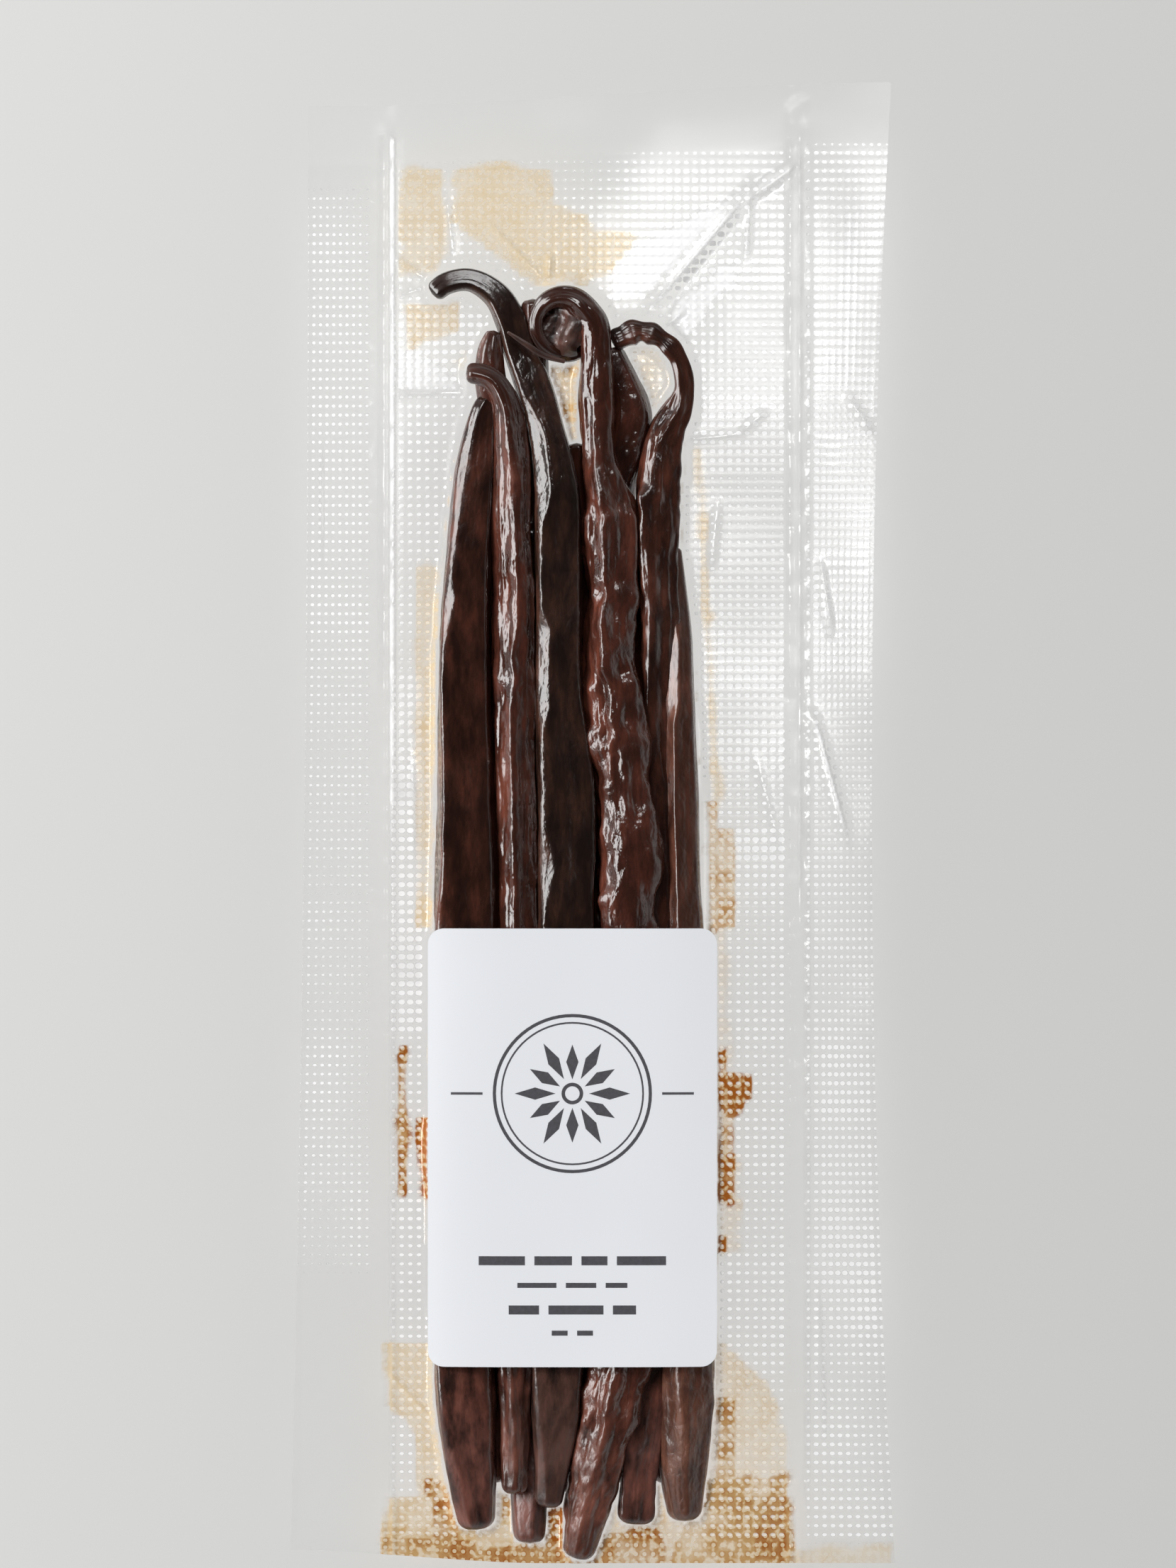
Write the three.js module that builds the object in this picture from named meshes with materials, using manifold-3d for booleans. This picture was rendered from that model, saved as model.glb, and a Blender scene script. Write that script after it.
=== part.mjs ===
// A clear vacuum pouch of vanilla pods, lying on its back with the label up.
// Millimetres. +X runs across the pouch, +Y towards the hooked ends of the pods, +Z away from the table.

import * as THREE from 'three';
import { mergeVertices } from 'three/addons/utils/BufferGeometryUtils.js';
import Module from 'manifold-3d';

// ---- the pouch ----
const POUCH_WIDTH = 84; // at its widest, across the bottom corners
const POUCH_LENGTH = 205.8; // from the bottom edge to the highest corner of the slanting top edge
const FILM_THICKNESS = 0.5; // both sheets pressed together
const SEAM_HEIGHT = 5.5; // middle of the two sheets above the table
const TOP_SLANT = 3.3; // how much lower the left top corner is than the right one
const TOP_LEFT_INSET = 2.5; // each side stands this far inside its bottom corner at the top
const TOP_RIGHT_INSET = 0.5;
const LEFT_WAIST = 1.9; // how far each side is drawn in at mid length
const RIGHT_WAIST = 3.2;
const CORNER_LIFT = 1.8; // the bottom edge rises this much at the left corner

// ---- the pods ----
const PACK_THICKNESS = 12; // from the table to the crest of the bundle
const FLATNESS = 0.78; // thickness of a pod over its width
const FOOT_TAPER = 19; // length over which a pod comes to the height of its blunt end
const NECK_LENGTH = 22; // length below the hook over which a pod comes down to the height of its tip
const BODY_STEP = 9; // spacing of the rings along a pod's body
const HOOK_STEP = 2.6; // and along its stalk, which may be hooked
const END_RINGS = [0, 0.12, 0.5, 1]; // rings on a rounded end, as shares of its radius
const ARC_DIVISIONS = 400; // steps in which a route's length is measured
const CURL_POINTS = 8; // points on the arc of the rolled tip
const REAR_HEIGHT = 2.6; // middle of the pods that lie at the back, pressed flat where they meet the table
const FRONT_SIDES = 12; // sides of a pod's section: at the front, at the back and on the thin stray stalk
const REAR_SIDES = 8;
const STRAY_SIDES = 6;
const MERGE_DISTANCE = 1e-4;

// ---- the packed middle of the bundle, which shows only as the floor of the valleys ----
const CORE_BOTTOM = 1.9;
const CORE_TOP = 8.8;
const CORE_LEFT = -18;
const CORE_RIGHT = 11.5;
const CORE_FOOT = -78;
const CORE_HEAD = 34;
const CORE_CORNER = 5;
const CORE_TAPER = 1; // how much narrower it is at the head, on the right

// ---- the label ----
const LABEL_WIDTH = 40;
const LABEL_LENGTH = 60.6;
const LABEL_THICKNESS = 0.25;
const LABEL_CORNER = 2.2;
const LABEL_CENTRE = [-2.8, -44.9];
const LABEL_GAP = 0.3; // between the label and the crest of the bundle
const LABEL_DROOP = 1.4; // how far the long edges of the label bend down
const LABEL_STRIPS = 12;

const FOOT_END = -POUCH_LENGTH / 2;

// Each pod: its route, from the blunt foot up to the tip of the stalk, as [x, y, width there];
// hook: the length of bent stalk, which takes closer rings;
// lie, nose and toe: the height of its middle along the body, at the tip of the stalk and at the foot.
const FRONT_PODS = [
  {
    route: [[-16, -98.2, 5], [-16.8, -89.2, 7], [-17.6, -78, 8.6], [-17.6, -45, 9], [-17.5, -10, 9.1],
      [-17.5, 4, 8], [-17.7, 25, 7.2], [-17.1, 37, 6.5], [-16.4, 49, 5.5], [-15.9, 56.7, 3.8],
      [-16.1, 59.6, 2.4]],
    hook: 4, lie: 8, nose: 6.2, toe: 6.4,
  },
  {
    route: [[-10.9, -93.2, 3.6], [-10.8, -84, 4.4], [-10.7, -70, 5.4], [-10.4, -10, 5.6], [-10.7, 4, 5.8],
      [-11, 28, 6.2], [-11.2, 42, 5.8], [-11.3, 52, 5.1], [-11.9, 57.6, 4.2], [-13.3, 60.6, 3.4],
      [-15.3, 62, 3.1], [-17.6, 61.9, 2.8]],
    hook: 12, lie: 8.5, nose: 7.6, toe: 7.2,
  },
  {
    route: [[-6.2, -95.1, 3.6], [-5.6, -89.2, 5], [-5, -82, 6.9], [-4.3, -45, 8], [-3.8, -10, 8.4],
      [-3.7, 4, 8.4], [-4.7, 18, 7.1], [-4.8, 36, 6.8], [-5, 46, 6.3], [-6.6, 55.4, 5], [-8.3, 61, 5.1],
      [-10.2, 65.8, 4.5], [-11.3, 69.6, 4.4], [-13.4, 73.3, 3.8], [-17, 75.4, 3.2], [-20.3, 74.9, 3.1],
      [-22.3, 73.4, 2.9]],
    hook: 24, lie: 8.7, nose: 6, toe: 7.2,
  },
  {
    route: [[-2.1, -102.3, 4.4], [-0.6, -96, 6.2], [0.9, -90, 6.8], [3.9, -76, 9], [4.6, -45, 9],
      [4.8, -8, 8.7], [4.2, 5, 7.6], [3.4, 17.4, 8.4], [1.9, 25.6, 6.9], [2.7, 33, 7.4], [2.2, 44, 6.9],
      [1, 50.4, 4.9], [0.5, 59.5, 4.7], [0.4, 66.5, 4.4], [0.2, 71.2, 3.8]],
    hook: 6, lie: 8.4, nose: 7.6, toe: 6.4,
  },
  {
    route: [[5.8, -97.5, 4.7], [6.4, -90, 5], [7.7, -79, 5.6], [9.3, -45, 5.6], [9.9, -10, 5.2], [9.2, 18, 5],
      [9.2, 32, 5.6], [9, 43, 6.6], [9.7, 51, 5.7], [11, 56.2, 5.2], [12.6, 59.6, 3.6], [12.6, 62.4, 3.3],
      [11.4, 65.2, 3.3], [9.3, 66.9, 3.3], [6.8, 67.8, 3.7], [4.3, 67.4, 3.6]],
    hook: 22, lie: 7.4, nose: 6.2, toe: 6.2,
  },
  {
    route: [[12.8, -97, 4.6], [12.6, -89.2, 6.8], [12.8, -82, 7.8], [13.1, -45, 7.6], [12.4, -10, 5.4],
      [12.1, 4, 5.2], [11.7, 18, 4.8], [11.6, 25.4, 4.5], [12, 32.5, 2.8], [12.6, 38.2, 1.2]],
    hook: 4, lie: 7.8, nose: 6.4, toe: 6.4,
  },
];

const REAR_PODS = [
  {
    route: [[-14.4, -92, 5], [-14.2, -60, 7.4], [-13.8, 0, 7.4], [-13.6, 38, 7], [-13.4, 55, 4.6],
      [-13.8, 62, 2.9], [-13.9, 67.6, 2.5]],
    hook: 5, lie: REAR_HEIGHT, nose: 5.4, toe: 4,
  },
  {
    route: [[-8.8, -100.2, 4.4], [-8.8, -93, 5.2], [-8.5, -75, 7], [-8.2, -40, 7.4], [-7.7, 10, 7.2],
      [-7.6, 44, 6.2], [-8, 62, 4], [-8.3, 72.8, 3.2]],
    hook: 6, lie: REAR_HEIGHT, nose: 5.6, toe: 5.4,
  },
  {
    route: [[-1.6, -94, 5], [-1.2, -60, 7.2], [-0.8, 0, 7.2], [-1.3, 30, 5.6], [-2.1, 46, 3], [-2.2, 52.6, 2]],
    hook: 4, lie: REAR_HEIGHT, nose: 5.2, toe: 4,
  },
  {
    route: [[4.6, -92, 5], [5.2, -60, 7.2], [5, 0, 7.2], [3, 30, 6.8], [2.6, 46, 6.6], [3.8, 52, 6.8],
      [4.9, 56.8, 6.6], [3.9, 61, 5.2], [2.2, 66, 3.6]],
    hook: 16, lie: REAR_HEIGHT, nose: 5.6, toe: 4,
  },
  {
    route: [[10.6, -92, 5], [10.8, -60, 7.4], [10.6, 0, 7.4], [10, 30, 4.6], [9.6, 44, 2.6]],
    hook: 4, lie: REAR_HEIGHT, nose: 4.6, toe: 4,
  },
];

// The tip of the widest pod is rolled up: an arc that starts on top of the pod and turns inwards, and its eye.
const CURL = { centre: [-3.8, 68.7], radius: 3.6, start: 0, sweep: 300, thickness: 3.1, height: 7.2, eye: 2.2 };

// A thin stray stalk lies across the front, below the rolled tip.
const STRAY = {
  route: [[-11.8, 68, 1.1], [-9.4, 66.4, 1.3], [-6.8, 64.8, 1.4], [-3.4, 63.7, 1.2]],
  hook: 1, lie: 9.6, nose: 7.2, toe: 9.2,
};

const { Vector2, Vector3, MathUtils } = THREE;
const { Manifold, Mesh: ManifoldMesh } = await loadManifold();

async function loadManifold() {
  const wasm = await Module();
  wasm.setup();
  return wasm;
}

// ---- solids to and from three.js geometry ----

function solidOf(geometry) {
  geometry.deleteAttribute('normal');
  geometry.deleteAttribute('uv');
  const merged = mergeVertices(geometry, MERGE_DISTANCE);
  const corners = [];
  for (let i = 0; i < merged.index.count; i += 3) {
    const [a, b, c] = [0, 1, 2].map((k) => merged.index.getX(i + k));
    if (a !== b && b !== c && c !== a) corners.push(a, b, c);
  }
  return new Manifold(new ManifoldMesh({
    numProp: 3,
    vertProperties: new Float32Array(merged.attributes.position.array),
    triVerts: new Uint32Array(corners),
  }));
}

function geometryOf(solid) {
  const { vertProperties, triVerts } = solid.getMesh();
  const geometry = new THREE.BufferGeometry();
  geometry.setAttribute('position', new THREE.BufferAttribute(vertProperties, 3));
  geometry.setIndex(new THREE.BufferAttribute(triVerts, 1));
  geometry.computeVertexNormals();
  return geometry;
}

// The outer skin of a solid: hollows sealed inside it are filled, and loose scraps dropped.
function outerSkin(solid) {
  return solid.decompose().reduce((largest, piece) => (piece.volume() > largest.volume() ? piece : largest));
}

// ---- the two sheets of film ----

// Draws a side from the shape's current point to end, bowed so that it passes through the middle point.
function bowTo(shape, middle, end) {
  const start = shape.currentPoint.clone();
  const control = middle.clone().multiplyScalar(2).sub(start.add(end).multiplyScalar(0.5));
  shape.quadraticCurveTo(control.x, control.y, end.x, end.y);
}

function pouchOutline() {
  const side = POUCH_WIDTH / 2;
  const top = POUCH_LENGTH / 2;
  const topLeft = new Vector2(-side + TOP_LEFT_INSET, top - TOP_SLANT);
  const topRight = new Vector2(side - TOP_RIGHT_INSET, top);
  const bottomLeft = new Vector2(-side, FOOT_END + CORNER_LIFT);
  const bottomRight = new Vector2(side, FOOT_END);
  const shape = new THREE.Shape();
  shape.moveTo(bottomLeft.x, bottomLeft.y);
  shape.quadraticCurveTo(-side / 2, FOOT_END, 0, FOOT_END);
  shape.lineTo(bottomRight.x, bottomRight.y);
  bowTo(shape, new Vector2(side - RIGHT_WAIST, 0), topRight);
  bowTo(shape, new Vector2(-side / 3, top - TOP_SLANT), topLeft);
  bowTo(shape, new Vector2(-side + LEFT_WAIST, 0), bottomLeft);
  return shape;
}

function filmSolid() {
  const film = new THREE.ExtrudeGeometry(pouchOutline(), {
    depth: FILM_THICKNESS, bevelEnabled: false, curveSegments: 10,
  });
  film.translate(0, 0, SEAM_HEIGHT - FILM_THICKNESS / 2);
  return solidOf(film);
}

// ---- the pods ----

// Distances along a pod at which it has a ring: close together on the round ends and the hook.
function ringDistances(pod, length) {
  const footRings = END_RINGS.map((share) => (share * pod.route[0][2]) / 2);
  const tipRings = END_RINGS.map((share) => length - (share * pod.route.at(-1)[2]) / 2).reverse();
  const hookStart = length - pod.hook;
  const rings = [...footRings];
  for (let along = footRings.at(-1) + BODY_STEP / 2; along < hookStart; along += BODY_STEP) rings.push(along);
  for (let along = hookStart; along < tipRings[0] - HOOK_STEP / 2; along += HOOK_STEP) {
    if (along > rings.at(-1) + HOOK_STEP / 2) rings.push(along);
  }
  return [...rings, ...tipRings];
}

// A quarter ellipse: 0 at the very end, 1 from one radius inwards.
function roundEnd(inwards, radius) {
  const share = MathUtils.clamp(inwards / radius, 0, 1);
  return Math.sqrt(1 - (1 - share) ** 2);
}

// A pod is a turned spindle, closed at both ends, flattened and laid along its route.
function podSolid(pod, sides) {
  const places = pod.route.map(([x, y]) => new Vector3(x, y, 0));
  const path = new THREE.CatmullRomCurve3(places, false, 'centripetal');
  const widths = new THREE.CatmullRomCurve3(pod.route.map(([, , width]) => new Vector3(width, 0, 0)));
  path.arcLengthDivisions = ARC_DIVISIONS;
  const length = path.getLength();
  const footRadius = pod.route[0][2] / 2;
  const tipRadius = pod.route.at(-1)[2] / 2;
  const profile = ringDistances(pod, length).map((along) => {
    const width = widths.getPoint(path.getUtoTmapping(0, along)).x;
    return new Vector2((width / 2) * roundEnd(along, footRadius) * roundEnd(length - along, tipRadius), along);
  });
  const spindle = new THREE.LatheGeometry(profile, sides);
  const position = spindle.attributes.position;
  const vertex = new Vector3();
  for (let i = 0; i < position.count; i++) {
    vertex.fromBufferAttribute(position, i);
    const share = path.getUtoTmapping(0, MathUtils.clamp(vertex.y, 0, length));
    const middle = path.getPoint(share);
    const heading = path.getTangent(share);
    const rise = MathUtils.smoothstep(vertex.y, length - pod.hook - NECK_LENGTH, length - pod.hook / 2);
    const sink = MathUtils.smoothstep(FOOT_TAPER - vertex.y, 0, FOOT_TAPER);
    const body = MathUtils.lerp(pod.lie, pod.nose, rise);
    position.setXYZ(
      i,
      middle.x + heading.y * vertex.x,
      middle.y - heading.x * vertex.x,
      MathUtils.lerp(body, pod.toe, sink) + vertex.z * FLATNESS,
    );
  }
  return solidOf(spindle);
}

// The rolled tip: one round bar bent along an arc, with a ball that fills the eye of the roll.
function curlSolid() {
  const [x, y] = CURL.centre;
  const route = Array.from({ length: CURL_POINTS + 1 }, (_, i) => {
    const angle = MathUtils.degToRad(CURL.start + (CURL.sweep * i) / CURL_POINTS);
    return [x + CURL.radius * Math.cos(angle), y + CURL.radius * Math.sin(angle), CURL.thickness];
  });
  const hook = CURL.radius * MathUtils.degToRad(CURL.sweep);
  const bar = podSolid({ route, hook, lie: CURL.height, nose: CURL.height, toe: CURL.height }, REAR_SIDES);
  const eye = new THREE.SphereGeometry(CURL.eye, 10, 6);
  eye.translate(x, y, CURL.height);
  return bar.add(solidOf(eye));
}

function coreSolid() {
  const outline = new THREE.Shape([
    new Vector2(CORE_LEFT + CORE_CORNER, CORE_FOOT),
    new Vector2(CORE_RIGHT - CORE_CORNER, CORE_FOOT),
    new Vector2(CORE_RIGHT, CORE_FOOT + CORE_CORNER),
    new Vector2(CORE_RIGHT - CORE_TAPER, CORE_HEAD - CORE_CORNER),
    new Vector2(CORE_RIGHT - CORE_CORNER, CORE_HEAD),
    new Vector2(CORE_LEFT + CORE_CORNER, CORE_HEAD),
    new Vector2(CORE_LEFT, CORE_HEAD - CORE_CORNER),
    new Vector2(CORE_LEFT, CORE_FOOT + CORE_CORNER),
  ]);
  const core = new THREE.ExtrudeGeometry(outline, { depth: CORE_TOP - CORE_BOTTOM, bevelEnabled: false });
  core.translate(0, 0, CORE_BOTTOM);
  return solidOf(core);
}

// ---- the named pieces ----

function pouchGeometry() {
  const pieces = [
    coreSolid(),
    ...REAR_PODS.map((pod) => podSolid(pod, REAR_SIDES)),
    ...FRONT_PODS.map((pod) => podSolid(pod, FRONT_SIDES)),
    curlSolid(),
    podSolid(STRAY, STRAY_SIDES),
  ];
  const bundle = pieces.reduce((joined, piece) => joined.add(piece), filmSolid());
  return geometryOf(outerSkin(bundle.trimByPlane([0, 0, 1], 0)));
}

function labelGeometry() {
  const half = LABEL_WIDTH / 2;
  const base = PACK_THICKNESS + LABEL_GAP;
  const strips = Array.from({ length: LABEL_STRIPS + 1 }, (_, i) => -half + (LABEL_WIDTH * i) / LABEL_STRIPS);
  const underside = strips.map((x) => new Vector2(x, base - LABEL_DROOP * (Math.abs(x) / half) ** 4));
  const upperside = underside.map((point) => new Vector2(point.x, point.y + LABEL_THICKNESS)).reverse();
  const sheet = new THREE.ExtrudeGeometry(new THREE.Shape([...underside, ...upperside]), {
    depth: LABEL_LENGTH, bevelEnabled: false,
  });
  sheet.rotateX(Math.PI / 2);
  sheet.translate(LABEL_CENTRE[0], LABEL_CENTRE[1] + LABEL_LENGTH / 2, 0);
  const cutter = new THREE.ExtrudeGeometry(roundedRectangle(LABEL_WIDTH, LABEL_LENGTH, LABEL_CORNER), {
    depth: PACK_THICKNESS, bevelEnabled: false, curveSegments: 5,
  });
  cutter.translate(LABEL_CENTRE[0], LABEL_CENTRE[1], PACK_THICKNESS / 2);
  return geometryOf(solidOf(sheet).intersect(solidOf(cutter)));
}

function roundedRectangle(width, height, radius) {
  const x = width / 2;
  const y = height / 2;
  const quarter = Math.PI / 2;
  const shape = new THREE.Shape();
  shape.absarc(x - radius, -y + radius, radius, -quarter, 0);
  shape.absarc(x - radius, y - radius, radius, 0, quarter);
  shape.absarc(-x + radius, y - radius, radius, quarter, 2 * quarter);
  shape.absarc(-x + radius, -y + radius, radius, 2 * quarter, 3 * quarter);
  return shape;
}

function namedMesh(name, geometry, color, roughness) {
  const mesh = new THREE.Mesh(geometry, new THREE.MeshStandardMaterial({ color, roughness, metalness: 0 }));
  mesh.name = name;
  return mesh;
}

const pack = new THREE.Group();
pack.add(namedMesh('pouch', pouchGeometry(), 0x3a1f17, 0.25));
pack.add(namedMesh('label', labelGeometry(), 0xe9ebf0, 0.55));

export default pack;
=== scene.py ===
"""A clear vacuum pouch of vanilla pods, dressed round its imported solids.

Metres, +Z up. The pouch lies on its back: +X runs across it and +Y towards the hooked tips of the pods.
Tables of places and sizes are in millimetres, and MM takes them to metres.
"""

import math

import bmesh
import bpy
import numpy as np
from bpy.props import FloatProperty, FloatVectorProperty, IntProperty, PointerProperty
from mathutils import Matrix, Vector


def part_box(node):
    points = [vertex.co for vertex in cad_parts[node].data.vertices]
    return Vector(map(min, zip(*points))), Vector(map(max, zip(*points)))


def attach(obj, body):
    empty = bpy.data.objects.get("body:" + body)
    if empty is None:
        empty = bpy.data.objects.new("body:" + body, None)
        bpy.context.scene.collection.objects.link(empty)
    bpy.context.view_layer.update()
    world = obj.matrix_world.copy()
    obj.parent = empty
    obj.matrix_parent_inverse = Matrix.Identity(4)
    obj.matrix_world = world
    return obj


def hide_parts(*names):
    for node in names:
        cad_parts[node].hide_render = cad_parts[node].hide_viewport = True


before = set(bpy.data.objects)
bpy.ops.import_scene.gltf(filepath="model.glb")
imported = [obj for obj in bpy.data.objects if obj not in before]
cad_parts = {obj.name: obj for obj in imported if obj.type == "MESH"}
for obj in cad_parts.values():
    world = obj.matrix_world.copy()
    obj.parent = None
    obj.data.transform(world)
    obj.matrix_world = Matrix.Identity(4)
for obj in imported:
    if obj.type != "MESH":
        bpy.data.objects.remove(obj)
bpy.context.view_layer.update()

bl_info = {
    "name": "Vacuum pouch of vanilla pods",
    "version": (1, 0, 0),
    "blender": (4, 5, 0),
    "location": "3D View > Sidebar > Vanilla pouch",
    "description": "Makes the pods, the dimpled film, the label and its print, and the studio",
    "category": "Object",
}

MM = 0.001
BODY = "root"
LOW, HIGH = (np.array(corner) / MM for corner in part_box("pouch"))
LABEL_LOW, LABEL_HIGH = (np.array(corner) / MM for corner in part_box("label"))
LABEL_MIDDLE = (LABEL_LOW + LABEL_HIGH) / 2
LABEL_HALF = (LABEL_HIGH - LABEL_LOW) / 2

shared = {}  # what one operator works out for the next

# ---- the pods, in millimetres and degrees ----

FLATNESS = 0.78  # thickness of a pod over its width
FOOT_TAPER = 19  # length over which a pod comes to the height of its blunt end
NECK_LENGTH = 22  # length below the hook over which a pod comes down to the height of its tip
TIP_DROP = (14, 3)  # lengths from the tip over which it sinks by its drop
DARK_TIP_FADE = 4  # half the length over which the skin turns darker towards the tip
REAR_HEIGHT = 2.6  # middle of the pods that lie at the back
TABLE_GAP = 0.12  # lowest point of a pod above the table
END_CROWDING = 0.55  # how much closer the rings stand at the ends of a pod
LIT_HEADING = 58  # the faces near this heading keep it all along
LIT_SPREAD = 30  # how near they are
FACE_DRIFT = (6, 24)  # degrees by which the other faces wander along a pod, and the length of a wave
FACE_SWELL = (0.04, 17)  # share by which all faces move in and out, and the length of a wave
RIDGE_ROOM = 14  # least angle between the flat ridge and the face at each side of it
CORNER_SHARPNESS = 26  # how crisply the faces of a pod's section meet
LEAST_HALF_WIDTH = 1.0  # a pod's section takes no narrower part than this into account
ROUTE_STEPS = 40  # steps in each stretch of a route
PAINTED_LIGHT_STEEPNESS = (0.15, 0.8)  # steepness of the skin from which it counts as the left side of a pod, and is painted lighter and redder, as if lit by the window
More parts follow.
